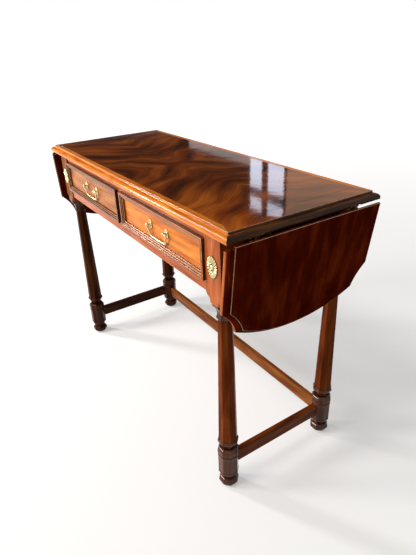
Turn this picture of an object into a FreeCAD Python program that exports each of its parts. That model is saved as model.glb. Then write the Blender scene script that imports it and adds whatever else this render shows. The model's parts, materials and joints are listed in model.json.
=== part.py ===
import FreeCAD, Part

import math
import os
from FreeCAD import Vector

os.makedirs("parts", exist_ok=True)

# Drop-leaf console table in mahogany, millimetres, +Z up.
# The origin is on the floor under the middle of the top. +X runs along the top to its right-hand end as
# one faces the drawers, and the drawers are on the -Y side.

# Overall sizes
table_height = 700
top_length = 988
top_depth = 399
top_thickness = 19

# Moulded edge of the top and leaves: a square shoulder, a narrow ledge, then a quarter round
edge_shoulder = 5.5
edge_ledge = 2.5
edge_round = 9.5
end_lipping_width = 52
side_lipping_width = 26

# The rule joint's pin lies this far below the centre of the quarter round
hinge_pin_drop = 5.5

# Leaves, measured outwards from the hinge pin
leaf_reach = 244.5
leaf_bow_radius = 360
leaf_side_length = 148.5
leaf_nose_length = 205.5
leaf_nose_half_width = 163
leaf_corner_radius = 108
leaf_joint_gap = 0.5
leaf_hang_tilt_deg = 7.3

# Legs: one square block above, an octagonal turning below
leg_inset_x = 42.6
leg_inset_y = 15.9
block_width = 54
block_length = 137
chamfer_stop_length = 19
glide_height = 3
foot_height = 22
foot_width = 47
foot_bottom_width = 36
foot_swell_share = 0.45
foot_neck_height = 15
foot_neck_width = 33
collar_height = 10
collar_width = 48
lower_block_height = 45
lower_block_width = 47
bead_height = 6
bead_width = 48.5
groove_height = 4.5
groove_width = 45
band_height = 7.5
band_width = 49
shoulder_height = 12
ankle_neck_height = 16
ankle_neck_width = 30
ankle_ring_height = 9
ankle_ring_width = 48
shaft_foot_width = 42.5
shaft_head_width = 30
head_ring_height = 7
head_ring_width = 36
head_cove_height = 24
upper_ring_height = 7
upper_ring_width = 51
neck_hollow_share = 0.6
neck_flare_share = 0.2
fillet_step = 1.5

# Rails and aprons
apron_thickness = 20
apron_setback = 3
rail_depth = 40
top_rail_height = 20
bottom_rail_height = 25
stile_width = 20
tenon_length = 16
tenon_thickness = 8
tenon_shoulder = 12

# Stretchers
stretcher_width = 15
stretcher_height = 36
stretcher_edge_round = 2.5
side_stretcher_bottom = 61
rear_stretcher_bottom = 55
stretcher_tenon_thickness = 7
stretcher_tenon_height = 24
stretcher_tenon_depth = 17

# Drawers
drawer_gap = 0.8
drawer_front_thickness = 18
drawer_side_thickness = 11
drawer_side_height = 88
drawer_back_clearance = 49
drawer_bottom_thickness = 5
drawer_bottom_rise = 10
drawer_groove_depth = 5
drawer_back_thickness = 11
drawer_back_drop = 5
drawer_lift = 0.3
tail_count = 3
tail_length = 13
tail_width = 18
tail_flare = 2.5
runner_thickness = 18
runner_overlap = 14
guide_height = 30
stop_length = 40
stop_height = 6
stop_depth = 12
stop_clearance = 0.3

# Reeded frame planted on each drawer front
frame_width = 16
frame_height = 9
frame_rim_width = 3
frame_step = 2.5
reed_count = 3
reed_bulge_share = 0.22

# Swan-neck handles
handle_centres = 76
handle_rise = 4.5
plate_height = 25
plate_width = 18
plate_thickness = 1.6
plate_lobe_count = 8
plate_lobe_radius = 3.4
post_radius = 2.6
post_flare_radius = 4.5
post_reach = 9
post_ball_radius = 4.2
post_shank_radius = 2
nut_radius = 5
nut_thickness = 3.5
bail_radius = 2.1
bail_swell_radius = 3.3
bail_swell_length = 17
bail_shoulder_radius = 4.5
bail_lean_deg = 42
bail_neck_run = 7
bail_neck_radius = 9
bail_corner_radius = 10
bail_rest_gap = 0.3
bail_pivot_radius = 1.6
running_clearance = 0.05

# Oval rosettes on the front leg blocks
rosette_width = 35
rosette_height = 48
rosette_thickness = 2
rosette_boss_share = 0.42
rosette_boss_height = 2.2
rosette_petal_count = 18
rosette_petal_radius = 3.1
rosette_below_top = 91
rosette_nail_radius = 1
rosette_nail_length = 12

# Rule joint hinges
hinge_spacing = 250
hinge_width = 32
hinge_plate = 1.8
hinge_barrel_radius = 3.4
hinge_pin_radius = 1.5
hinge_pocket = 4.6
hinge_flap_clear = 6.5
hinge_recess_clearance = 0.1
knuckle_gap = 0.3
top_flap_length = 27
leaf_flap_length = 50
hinge_screw_spread = 18
top_screw_row = 17
leaf_screw_row_near = 23
leaf_screw_row_far = 40

# Folding stays under each leaf. Places are measured from the hinge pin.
stay_spacing = 140
stay_apron_in = 25.5
stay_apron_down = 74.5
stay_leaf_out = 135.5
stay_leaf_off = 6.5
stay_fold_share = 0.9994
stay_arm_half_width = 4.5
stay_arm_thickness = 2
stay_arm_gap = 0.3
stay_bracket_thickness = 1.6
stay_bracket_width = 20
stay_bracket_height = 30
stay_screw_spread = 20
stay_stud_radius = 2
stay_rivet_head_radius = 3.8
stay_rivet_head_height = 1.2

# Screws and glides
fitting_screw_head_radius = 3.2
fitting_screw_head_height = 1.7
fitting_screw_radius = 1.5
fitting_screw_length = 13
screw_slot_width = 0.8
screw_slot_depth = 0.7
top_screw_head_radius = 4
top_screw_head_height = 2.6
top_screw_radius = 2
top_screw_length = 32
screw_hole_clearance = 0.05
glide_radius = 10
glide_nail_radius = 1.5
glide_nail_length = 14
corner_block_leg = 36
corner_block_height = 70
top_screw_inset = 75

# Where the middle of a quarter arc lies along each axis, as a share of its radius
arc_middle_share = math.sqrt(0.5)

# One overrun serves every cut, and points nearer than this are one point
overrun = 5
same_place = 1e-6

# Places worked out from the sizes
half_length = top_length / 2
half_depth = top_depth / 2
top_underside = table_height - top_thickness
round_x = half_length - edge_round
round_z = table_height - edge_shoulder - edge_round
arris_x = round_x - edge_ledge
arris_y = half_depth - edge_round - edge_ledge
pin_x = round_x
pin_z = round_z - hinge_pin_drop
leg_x = half_length - leg_inset_x - block_width / 2
leg_y = half_depth - leg_inset_y - block_width / 2
block_outer_x = leg_x + block_width / 2
block_inner_x = leg_x - block_width / 2
block_outer_y = leg_y + block_width / 2
block_inner_y = leg_y - block_width / 2
block_bottom = top_underside - block_length
apron_outer_x = block_outer_x - apron_setback
apron_inner_x = apron_outer_x - apron_thickness
rail_face_y = block_outer_y - apron_setback
rear_apron_inner_y = rail_face_y - apron_thickness
opening_bottom = block_bottom + bottom_rail_height
opening_top = top_underside - top_rail_height
opening_inner_x = stile_width / 2
opening_outer_x = block_inner_x
drawer_centre_x = (opening_inner_x + opening_outer_x) / 2
drawer_back_face_y = -rail_face_y + drawer_front_thickness
drawer_end_y = rear_apron_inner_y - drawer_back_clearance
handle_z = (opening_bottom + opening_top) / 2 + handle_rise
X, Y, Z = Vector(1, 0, 0), Vector(0, 1, 0), Vector(0, 0, 1)
ORIGIN = Vector(0, 0, 0)


# Small helpers for shapes

def box(x0, x1, y0, y1, z0, z1):
    """A block between two opposite corners."""
    return Part.makeBox(x1 - x0, y1 - y0, z1 - z0, Vector(x0, y0, z0))


def rod(radius, start, direction, length):
    """A round bar of one radius."""
    return Part.makeCylinder(radius, length, start, direction)


def on_xz(u, v):
    return Vector(u, 0, v)


def on_yz(u, v):
    return Vector(0, u, v)


def outline(place, steps):
    """A closed face. A step is (u, v) for a straight run or (mu, mv, u, v) for an arc through (mu, mv).

    A straight run of no length is left out, so that two steps may meet in one point.
    """
    edges = []
    here = place(*steps[0][-2:])
    first = here
    for step in steps[1:]:
        there = place(*step[-2:])
        if len(step) == 4:
            edges.append(Part.Arc(here, place(*step[:2]), there).toShape())
        elif not here.isEqual(there, same_place):
            edges.append(Part.LineSegment(here, there).toShape())
        here = there
    edges.append(Part.LineSegment(here, first).toShape())
    return Part.Face(Part.Wire(edges))


def mirrored_steps(steps):
    """The steps of a right-hand half outline, followed by their mirror image, as one closed outline."""
    back = []
    for earlier, later in zip(reversed(steps[:-1]), reversed(steps[1:])):
        target = (-earlier[-2], earlier[-1])
        if len(later) == 4:
            target = (-later[0], later[1]) + target
        back.append(target)
    return steps + [(-steps[-1][-2], steps[-1][-1])] + back


def mirror_x(shape):
    return shape.mirror(ORIGIN, X)


def mirror_y(shape):
    return shape.mirror(ORIGIN, Y)


def both_ends(shape):
    """The shape and its mirror image at the other end of the table."""
    return [shape, mirror_x(shape)]


def front_and_back(shape):
    """The shape and its mirror image on the other side of the table."""
    return [shape, mirror_y(shape)]


def joined(shapes):
    whole = shapes[0]
    if len(shapes) > 1:
        whole = whole.fuse(shapes[1:])
    return whole.removeSplitter()


def turned(shape, centre, axis, degrees):
    """A copy turned about an axis through centre."""
    copy = shape.copy()
    copy.rotate(centre, axis, degrees)
    return copy


def save(node, shapes):
    """Writes one node's solids to its own file and prints what it holds."""
    solids = [solid for shape in shapes for solid in shape.Solids]
    for solid in solids:
        if not solid.isValid() or solid.Volume <= 0:
            print("INVALID", node, solid.isValid(), solid.Volume)
    whole = solids[0] if len(solids) == 1 else Part.makeCompound(solids)
    whole.exportStep(os.path.join("parts", node + ".step"))
    b = whole.BoundBox
    print(f"{node:32s}{len(solids):3d} solids {whole.Volume / 1000:9.2f} cm3"
          f"  x {b.XMin:7.1f} {b.XMax:7.1f}  y {b.YMin:7.1f} {b.YMax:7.1f}  z {b.ZMin:7.1f} {b.ZMax:7.1f}")


# The moulded edge

def edge_steps(arris, outwards=1):
    """The moulding, from a board's arris down to its underside: shoulder, ledge and quarter round.

    outwards is 1 where the board ends towards +X, and -1 where it ends the other way.
    """
    centre = arris + outwards * edge_ledge
    rise_angle = math.pi / 2
    foot_angle = -math.asin((round_z - top_underside) / edge_round)
    middle = (rise_angle + foot_angle) / 2
    return [
        (arris, table_height),
        (arris, round_z + edge_round),
        (centre, round_z + edge_round),
        (
            centre + outwards * edge_round * math.cos(middle),
            round_z + edge_round * math.sin(middle),
            centre + outwards * edge_round * math.cos(foot_angle),
            top_underside,
        ),
    ]


def board_along_x(length):
    """A board with both long edges moulded, centred on the origin."""
    section = outline(on_yz, mirrored_steps(edge_steps(arris_y)))
    section.translate(Vector(-length / 2, 0, 0))
    return section.extrude(Vector(length, 0, 0))


def board_along_y(arris, length):
    section = outline(on_xz, mirrored_steps(edge_steps(arris)))
    section.translate(Vector(0, -length / 2, 0))
    return section.extrude(Vector(0, length, 0))


def moulded_disc(radius, centre_x):
    """A round board with a moulded rim, whose rim makes the bowed end of a leaf."""
    half = edge_steps(radius - edge_round - edge_ledge)
    face = outline(on_xz, [(0, table_height)] + half + [(0, top_underside)])
    disc = face.revolve(ORIGIN, Z, 360)
    disc.translate(Vector(centre_x, 0, 0))
    return disc


def corner_spool(centre_x, centre_y):
    """The waste of a leaf's hollow corner: a spool whose flare leaves the same moulding on a hollow."""
    rim = leaf_corner_radius + edge_round + edge_ledge
    flare = edge_steps(rim, -1)
    foot = flare[-1][-2]
    above = [(0, table_height + overrun), (rim, table_height + overrun)]
    below = [(foot, top_underside - overrun), (0, top_underside - overrun)]
    spool = outline(on_xz, above + flare + below).revolve(ORIGIN, Z, 360)
    spool.translate(Vector(centre_x, centre_y, 0))
    return spool


# Fasteners

def screw_shape(head_radius, head_height, radius, length, clearance=0.0):
    """A countersunk wood screw pointing up from the origin, or the hole for it when a clearance is given."""
    tip = length - 2 * radius
    body = outline(on_xz, [
        (0, 0),
        (head_radius + clearance, 0),
        (radius + clearance, head_height),
        (radius + clearance, tip),
        (0, length + clearance),
    ]).revolve(ORIGIN, Z, 360)
    return body


def slotted_screw(head_radius, head_height, radius, length):
    half = screw_slot_width / 2
    slot = box(-head_radius, head_radius, -half, half, -overrun, screw_slot_depth)
    return screw_shape(head_radius, head_height, radius, length).cut(slot)


def placed(shape, base, direction=Z):
    """A copy of a shape that points up from the origin, set at base and pointing along direction."""
    copy = shape.copy()
    copy.Placement = FreeCAD.Placement(base, FreeCAD.Rotation(Z, direction))
    return copy


FITTING_SCREW = slotted_screw(
    fitting_screw_head_radius, fitting_screw_head_height, fitting_screw_radius, fitting_screw_length)
FITTING_HOLE = screw_shape(
    fitting_screw_head_radius, fitting_screw_head_height, fitting_screw_radius, fitting_screw_length,
    screw_hole_clearance)
TOP_SCREW = slotted_screw(top_screw_head_radius, top_screw_head_height, top_screw_radius, top_screw_length)
TOP_HOLE = screw_shape(
    top_screw_head_radius, top_screw_head_height, top_screw_radius, top_screw_length, screw_hole_clearance)


# Rule joint hinges, worked out at the right-hand end with the leaf raised

PIN = Vector(pin_x, 0, pin_z)
HANG_DEG = 90 + leaf_hang_tilt_deg


def lowered(shape):
    """A piece of the right-hand leaf, turned about the pin from raised to hanging."""
    return turned(shape, PIN, Y, HANG_DEG)


knuckle_length = (hinge_width - 2 * knuckle_gap) / 3


def hinge_bands(y):
    """The three stretches along the pin that the knuckles take, from front to back."""
    low = y - hinge_width / 2
    pitch = knuckle_length + knuckle_gap
    return [(low + k * pitch, low + k * pitch + knuckle_length) for k in range(3)]


def knuckle(band):
    return rod(hinge_barrel_radius, Vector(pin_x, band[0], pin_z), Y, band[1] - band[0])


def pin_bore(y):
    start = Vector(pin_x, y - hinge_width / 2 - overrun, pin_z)
    return rod(hinge_pin_radius + running_clearance, start, Y, hinge_width + 2 * overrun)


def top_flap(y):
    front, middle, back = hinge_bands(y)
    low, high = top_underside, top_underside + hinge_plate
    flap = box(pin_x - top_flap_length, pin_x, y - hinge_width / 2, y + hinge_width / 2, low, high)
    notch = box(
        pin_x - hinge_flap_clear, pin_x + overrun, middle[0] - knuckle_gap, middle[1] + knuckle_gap,
        low - overrun, high + overrun)
    return joined([flap.cut(notch), knuckle(front), knuckle(back)]).cut(pin_bore(y))


def leaf_flap(y):
    front, middle, back = hinge_bands(y)
    low, high = top_underside, top_underside + hinge_plate
    flap = box(
        pin_x + hinge_flap_clear, pin_x + leaf_flap_length,
        y - hinge_width / 2, y + hinge_width / 2, low, high)
    neck = box(pin_x, pin_x + hinge_flap_clear, middle[0], middle[1], low, high)
    return joined([flap, neck, knuckle(middle)]).cut(pin_bore(y))


def hinge_pin(y):
    return rod(hinge_pin_radius, Vector(pin_x, y - hinge_width / 2, pin_z), Y, hinge_width)


def top_mortise(y):
    """Room in the top's underside for the flap, the barrel and the neck of the leaf's flap."""
    c = hinge_recess_clearance
    y0, y1 = y - hinge_width / 2 - c, y + hinge_width / 2 + c
    low = top_underside - overrun
    flap = box(pin_x - top_flap_length - c, pin_x, y0, y1, low, top_underside + hinge_plate + c)
    barrel = box(pin_x - hinge_pocket, pin_x + hinge_pocket, y0, y1, low, pin_z + hinge_barrel_radius + c)
    neck = box(pin_x, half_length + overrun, y0, y1, low, top_underside + hinge_plate + c)
    return joined([flap, barrel, neck])


def leaf_mortise(y):
    c = hinge_recess_clearance
    return box(
        pin_x, pin_x + leaf_flap_length + c, y - hinge_width / 2 - c, y + hinge_width / 2 + c,
        top_underside - overrun, top_underside + hinge_plate + c)


HINGE_YS = [-hinge_spacing / 2, hinge_spacing / 2]
TOP_FLAP_SCREWS = [
    Vector(pin_x - top_screw_row, y + side * hinge_screw_spread / 2, top_underside)
    for y in HINGE_YS for side in (-1, 1)]
LEAF_FLAP_SCREWS = [
    Vector(pin_x + row, y + side * spread / 2, top_underside)
    for y in HINGE_YS
    for row, spread, sides in (
        (leaf_screw_row_near, hinge_screw_spread, (-1, 1)),
        (leaf_screw_row_far, 0, (1,)))
    for side in sides]


# Folding stays, worked out at the right-hand end in the plane square to the pin

def stay_points():
    """Pivots of the stay: on the apron, on the leaf hanging and raised, at the elbow hanging and raised.

    The two arms together reach the raised leaf's pivot in one line. Hanging, the longer arm lies back along
    the shorter, and the fold share says how nearly: at 1 they would lie in one line again.
    """
    apron = Vector(pin_x - stay_apron_in, 0, pin_z - stay_apron_down)
    leaf_raised = Vector(pin_x + stay_leaf_out, 0, pin_z - stay_leaf_off)
    leaf_hung = turned(Part.Vertex(leaf_raised), PIN, Y, HANG_DEG).Point
    reach = (leaf_raised - apron).Length
    across = leaf_hung - apron
    gap = across.Length
    lower_arm = (reach - gap * stay_fold_share) / 2
    elbow_raised = apron + (leaf_raised - apron) * lower_arm / reach
    along = (gap - reach * stay_fold_share) / 2
    aside = math.sqrt(lower_arm ** 2 - along ** 2)
    unit = across / gap
    square = Vector(-unit.z, 0, unit.x)
    elbows = [apron + unit * along + square * aside, apron + unit * along - square * aside]
    elbow_hung = min(elbows, key=lambda p: p.x)
    return apron, leaf_hung, leaf_raised, elbow_hung, elbow_raised


STAY_APRON, STAY_LEAF, STAY_LEAF_RAISED, STAY_ELBOW, STAY_ELBOW_RAISED = stay_points()


def heading(start, end):
    """The angle of a line in the XZ plane, in degrees from +X towards +Z."""
    return math.degrees(math.atan2(end.z - start.z, end.x - start.x))


def wrapped(degrees):
    return (degrees + 180) % 360 - 180


lower_arm_turn = wrapped(heading(STAY_APRON, STAY_ELBOW_RAISED) - heading(STAY_APRON, STAY_ELBOW))
upper_arm_turn = wrapped(
    heading(STAY_LEAF_RAISED, STAY_ELBOW_RAISED) - heading(STAY_LEAF, STAY_ELBOW) - HANG_DEG)
print("stay ratios to the leaf: apron arm", lower_arm_turn / HANG_DEG, "leaf arm", upper_arm_turn / HANG_DEG)
print("stay pivots: apron", STAY_APRON, "leaf", STAY_LEAF, "elbow", STAY_ELBOW)

# Stretches along Y of the stay's layers, from the middle of the table outwards
stay_y = stay_spacing / 2
lower_arm_band = (stay_y, stay_y + stay_arm_thickness)
upper_arm_band = (lower_arm_band[1] + stay_arm_gap, lower_arm_band[1] + stay_arm_gap + stay_arm_thickness)
apron_ear_y = lower_arm_band[0] - stay_arm_gap
apron_ear_band = (apron_ear_y - stay_bracket_thickness, apron_ear_y)
leaf_ear_band = (upper_arm_band[1] + stay_arm_gap, upper_arm_band[1] + stay_arm_gap + stay_bracket_thickness)


def flat_bar(start, end, band, half_width):
    """A flat bar with round ends about two pivots, filling one stretch along Y."""
    run = end - start
    unit = run / run.Length
    side = Vector(-unit.z, 0, unit.x) * half_width
    tip, tail = end + unit * half_width, start - unit * half_width
    face = Part.Face(Part.Wire([
        Part.LineSegment(start + side, end + side).toShape(),
        Part.Arc(end + side, tip, end - side).toShape(),
        Part.LineSegment(end - side, start - side).toShape(),
        Part.Arc(start - side, tail, start + side).toShape(),
    ]))
    face.translate(Vector(0, band[0], 0))
    return face.extrude(Vector(0, band[1] - band[0], 0))


def cross_rod(point, radius, y0, y1):
    return rod(radius, Vector(point.x, y0, point.z), Y, y1 - y0)


def stay_eye(point):
    reach = stay_bracket_width + stay_spacing
    return cross_rod(point, stay_stud_radius + running_clearance, -reach, reach)


def apron_arm():
    """The arm on the apron, with the elbow's rivet in it. The rivet stops flush beside the other arm."""
    bar = flat_bar(STAY_APRON, STAY_ELBOW, lower_arm_band, stay_arm_half_width).cut(stay_eye(STAY_APRON))
    head = cross_rod(
        STAY_ELBOW, stay_rivet_head_radius, lower_arm_band[0] - stay_rivet_head_height, lower_arm_band[0])
    return joined([bar, head])


def leaf_arm():
    bar = flat_bar(STAY_LEAF, STAY_ELBOW, upper_arm_band, stay_arm_half_width)
    return bar.cut(stay_eye(STAY_LEAF)).cut(stay_eye(STAY_ELBOW))


def apron_bracket():
    """An angle screwed to the end apron, with the stud that the lower arm turns on."""
    face_x = apron_outer_x
    foot = box(
        face_x, face_x + stay_bracket_thickness, apron_ear_band[1] - stay_bracket_width, apron_ear_band[1],
        STAY_APRON.z - stay_bracket_height / 2, STAY_APRON.z + stay_bracket_height / 2)
    root = Vector(face_x + stay_arm_half_width, 0, STAY_APRON.z)
    ear = flat_bar(root, STAY_APRON, apron_ear_band, stay_arm_half_width)
    stud = cross_rod(STAY_APRON, stay_stud_radius, apron_ear_band[0], lower_arm_band[1])
    return joined([foot, ear, stud])


def leaf_bracket():
    """An angle screwed under the leaf, drawn with the leaf raised, with the stud of the upper arm."""
    pivot = STAY_LEAF_RAISED
    foot = box(
        pivot.x - stay_bracket_height / 2, pivot.x + stay_bracket_height / 2,
        leaf_ear_band[0], leaf_ear_band[0] + stay_bracket_width,
        top_underside - stay_bracket_thickness, top_underside)
    root = Vector(pivot.x, 0, top_underside - stay_arm_half_width)
    ear = flat_bar(root, pivot, leaf_ear_band, stay_arm_half_width)
    stud = cross_rod(pivot, stay_stud_radius, upper_arm_band[0], leaf_ear_band[1])
    return joined([foot, ear, stud])


apron_foot_y = apron_ear_band[1] - stay_bracket_thickness - (stay_bracket_width - stay_bracket_thickness) / 2
leaf_foot_y = leaf_ear_band[1] + (stay_bracket_width - stay_bracket_thickness) / 2
APRON_BRACKET_SCREWS = [
    Vector(
        apron_outer_x + stay_bracket_thickness, side * apron_foot_y,
        STAY_APRON.z + up * stay_screw_spread / 2)
    for side in (-1, 1) for up in (-1, 1)]
LEAF_BRACKET_SCREWS = [
    Vector(
        STAY_LEAF_RAISED.x + out * stay_screw_spread / 2, side * leaf_foot_y,
        top_underside - stay_bracket_thickness)
    for side in (-1, 1) for out in (-1, 1)]


# The top

def upright_prism(corners):
    """A prism through the top's thickness, to cut a lipping out of a moulded board."""
    face = Part.Face(Part.makePolygon(corners + corners[:1]))
    face.translate(Vector(0, 0, top_underside - overrun))
    return face.extrude(Vector(0, 0, top_thickness + 2 * overrun))


def top_fixing_points():
    """Where screws go up through the kickers into the top."""
    inset_y = block_inner_y - top_screw_inset
    outer = (block_inner_x + apron_inner_x) / 2
    return [Vector(x, y, opening_top) for x in (-outer, 0, outer) for y in (-inset_y, inset_y)]


def make_top():
    """The panel and the lippings round it. Their joints run to the arris's corner, then at 45 degrees."""
    panel_x = half_length - end_lipping_width
    panel_y = half_depth - side_lipping_width
    past = edge_ledge + edge_round + overrun
    joint = [Vector(panel_x, panel_y, 0), Vector(arris_x, arris_y, 0), Vector(arris_x + past, arris_y + past, 0)]
    end = joint + [Vector(p.x, -p.y, 0) for p in reversed(joint)]
    side = joint + [Vector(-p.x, p.y, 0) for p in reversed(joint)]
    panel = box(-panel_x, panel_x, -panel_y, panel_y, top_underside, table_height)
    save("top_panel", [panel.cut([placed(TOP_HOLE, p) for p in top_fixing_points()])])
    right = board_along_y(arris_x, top_depth + 2 * overrun).common(upright_prism(end))
    right = right.cut([top_mortise(y) for y in HINGE_YS] + [placed(FITTING_HOLE, p) for p in TOP_FLAP_SCREWS])
    save("top_right_lipping", [right])
    save("top_left_lipping", [mirror_x(right)])
    rear = board_along_x(top_length + 2 * overrun).common(upright_prism(side))
    save("top_rear_lipping", [rear])
    save("top_front_lipping", [mirror_y(rear)])


# The leaves

def corner_centre():
    """Centre of a leaf's hollow corner, which runs from the end of the straight side to the nose."""
    start = Vector(pin_x + leaf_side_length, half_depth, 0)
    end = Vector(pin_x + leaf_nose_length, leaf_nose_half_width, 0)
    chord = end - start
    square = Vector(-chord.y, chord.x, 0) / chord.Length
    lift = math.sqrt(leaf_corner_radius ** 2 - (chord.Length / 2) ** 2)
    return (start + end) / 2 + square * lift


def make_leaf():
    """The right-hand leaf, raised: its rule joint, sides, hollow corners and bowed end, then recesses."""
    cove = edge_round + leaf_joint_gap
    diagonal = cove * arc_middle_share
    far_x = pin_x + leaf_reach + overrun
    section = outline(on_xz, [
        (arris_x + leaf_joint_gap, table_height),
        (arris_x + leaf_joint_gap, round_z + cove),
        (round_x, round_z + cove),
        (round_x + diagonal, round_z + diagonal, round_x + cove, round_z),
        (round_x + cove, top_underside),
        (far_x, top_underside),
        (far_x, table_height),
    ])
    section.translate(Vector(0, -half_depth - overrun, 0))
    board = section.extrude(Vector(0, top_depth + 2 * overrun, 0))
    board = board.common(board_along_x(2 * (far_x + overrun)))
    board = board.common(moulded_disc(leaf_bow_radius, pin_x + leaf_reach - leaf_bow_radius))
    centre = corner_centre()
    board = board.cut(front_and_back(corner_spool(centre.x, centre.y)))
    board = board.cut([leaf_mortise(y) for y in HINGE_YS])
    holes = [placed(FITTING_HOLE, p) for p in LEAF_FLAP_SCREWS + LEAF_BRACKET_SCREWS]
    return board.cut(holes)


def make_leaves():
    leaf = lowered(make_leaf())
    flap_holes = [placed(FITTING_HOLE, p) for p in LEAF_FLAP_SCREWS]
    flaps = [lowered(leaf_flap(y).cut(flap_holes)) for y in HINGE_YS]
    bracket_holes = [placed(FITTING_HOLE, p) for p in LEAF_BRACKET_SCREWS]
    brackets = [lowered(b.cut(bracket_holes)) for b in front_and_back(leaf_bracket())]
    screws = [lowered(placed(FITTING_SCREW, p)) for p in LEAF_FLAP_SCREWS + LEAF_BRACKET_SCREWS]
    lower_arms = front_and_back(apron_arm())
    upper_arms = front_and_back(leaf_arm())
    nodes = {
        "leaf": [leaf],
        "leaf_hinge_flaps": flaps,
        "leaf_stay_brackets": brackets,
        "leaf_screws": screws,
        "stay_apron_arms": lower_arms,
        "stay_leaf_arms": upper_arms,
    }
    for name, shapes in nodes.items():
        save("right_" + name, shapes)
        save("left_" + name, [mirror_x(s) for s in shapes])


def make_root_fittings():
    """What stays with the frame: top flaps, pins, apron brackets and their screws."""
    flaps = [top_flap(y).cut([placed(FITTING_HOLE, p) for p in TOP_FLAP_SCREWS]) for y in HINGE_YS]
    save("hinge_top_flaps", [f for flap in flaps for f in both_ends(flap)])
    save("hinge_pins", [p for y in HINGE_YS for p in both_ends(hinge_pin(y))])
    bracket_holes = [placed(FITTING_HOLE, p, -X) for p in APRON_BRACKET_SCREWS]
    brackets = [b.cut(bracket_holes) for b in front_and_back(apron_bracket())]
    save("stay_apron_brackets", [b for bracket in brackets for b in both_ends(bracket)])
    screws = [placed(FITTING_SCREW, p) for p in TOP_FLAP_SCREWS]
    screws += [placed(FITTING_SCREW, p, -X) for p in APRON_BRACKET_SCREWS]
    save("frame_fitting_screws", [s for screw in screws for s in both_ends(screw)])
    save("top_fixing_screws", [placed(TOP_SCREW, p) for p in top_fixing_points()])


# Legs

def hollow_neck(steps, z, width, height, ring_width):
    """Adds a narrow neck that flares upwards, in a hollow, under a ring. Returns the height it ends at."""
    steps.append((width / 2, z))
    steps.append((
        width / 2 + (ring_width - width) * neck_flare_share, z + height * neck_hollow_share,
        ring_width / 2 - fillet_step, z + height))
    return z + height


def leg_sections():
    """Half sections of a leg, from the floor up: square to the flats, and square to the corner facets."""
    z = glide_height
    steps = [(foot_bottom_width / 2, z)]
    steps.append((
        foot_width / 2, z + foot_height * foot_swell_share, foot_bottom_width / 2, z + foot_height))
    z += foot_height
    z = hollow_neck(steps, z, foot_neck_width, foot_neck_height, collar_width)
    steps.append((
        collar_width / 2, z + collar_height / 2, collar_width / 2 - fillet_step, z + collar_height))
    z += collar_height
    steps += [(lower_block_width / 2, z), (lower_block_width / 2, z + lower_block_height)]
    z += lower_block_height
    steps.append((bead_width / 2, z + bead_height / 2, lower_block_width / 2, z + bead_height))
    z += bead_height
    steps += [(groove_width / 2, z), (groove_width / 2, z + groove_height)]
    z += groove_height
    steps += [(band_width / 2, z), (band_width / 2, z + band_height)]
    z += band_height
    round_in = (band_width - ankle_neck_width) / 2 - fillet_step
    steps.append((
        band_width / 2 - round_in * (1 - arc_middle_share), z + shoulder_height * arc_middle_share,
        band_width / 2 - round_in, z + shoulder_height))
    z += shoulder_height
    z = hollow_neck(steps, z, ankle_neck_width, ankle_neck_height, ankle_ring_width)
    steps.append((
        ankle_ring_width / 2, z + ankle_ring_height / 2,
        ankle_ring_width / 2 - fillet_step, z + ankle_ring_height))
    steps.append((shaft_foot_width / 2, z + ankle_ring_height))
    z = block_bottom - chamfer_stop_length - upper_ring_height - head_cove_height - head_ring_height
    steps.append((shaft_head_width / 2, z))
    steps.append((head_ring_width / 2 - fillet_step, z))
    steps.append((head_ring_width / 2, z + head_ring_height / 2, head_ring_width / 2 - fillet_step,
                  z + head_ring_height))
    z += head_ring_height
    steps.append((shaft_head_width / 2 + fillet_step, z))
    cove_in = (upper_ring_width - shaft_head_width) / 2 - 2 * fillet_step
    steps.append((
        shaft_head_width / 2 + fillet_step + cove_in * (1 - arc_middle_share),
        z + head_cove_height * arc_middle_share,
        shaft_head_width / 2 + fillet_step + cove_in, z + head_cove_height))
    z += head_cove_height
    steps.append((upper_ring_width / 2 - fillet_step, z))
    steps.append((upper_ring_width / 2, z + upper_ring_height / 2, upper_ring_width / 2 - fillet_step,
                  z + upper_ring_height))
    z += upper_ring_height
    flats = steps + [(block_width / 2, z), (block_width / 2, top_underside)]
    corner = block_width * arc_middle_share
    facets = steps + [(block_width / 2, z), (corner, z + chamfer_stop_length), (corner, top_underside)]
    return flats, facets


def leg_prism(steps):
    """A bar right across the leg with the given half section on both sides."""
    face = outline(on_xz, mirrored_steps(steps))
    face.translate(Vector(0, -block_width, 0))
    return face.extrude(Vector(0, 2 * block_width, 0))


def make_leg_blank():
    """An octagonal leg: what four bars at 45 degrees to each other have in common."""
    flats, facets = leg_sections()
    straight, diagonal = leg_prism(flats), leg_prism(facets)
    blank = straight.common(turned(straight, ORIGIN, Z, 90))
    blank = blank.common(turned(diagonal, ORIGIN, Z, 45))
    return blank.common(turned(diagonal, ORIGIN, Z, -45))


LEG_BLANK = make_leg_blank()


def leg_at(side_x, side_y):
    leg = LEG_BLANK.copy()
    leg.translate(Vector(side_x * leg_x, side_y * leg_y, 0))
    return leg


LEGS = {
    "front_left_leg": (-1, -1),
    "front_right_leg": (1, -1),
    "rear_left_leg": (-1, 1),
    "rear_right_leg": (1, 1),
}
ALL_LEGS = [leg_at(*sides) for sides in LEGS.values()]


# Frame members, each with the tenons that enter the legs

def member_along_x(half_run, y0, y1, z0, z1):
    """A rail between two legs with a central tenon on each end."""
    rail = box(-half_run, half_run, y0, y1, z0, z1)
    middle = (y0 + y1) / 2
    shoulder = min(tenon_shoulder, (z1 - z0) / 4)
    tenon = box(
        -half_run - tenon_length, half_run + tenon_length, middle - tenon_thickness / 2,
        middle + tenon_thickness / 2, z0 + shoulder, z1 - shoulder)
    return joined([rail, tenon])


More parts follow.
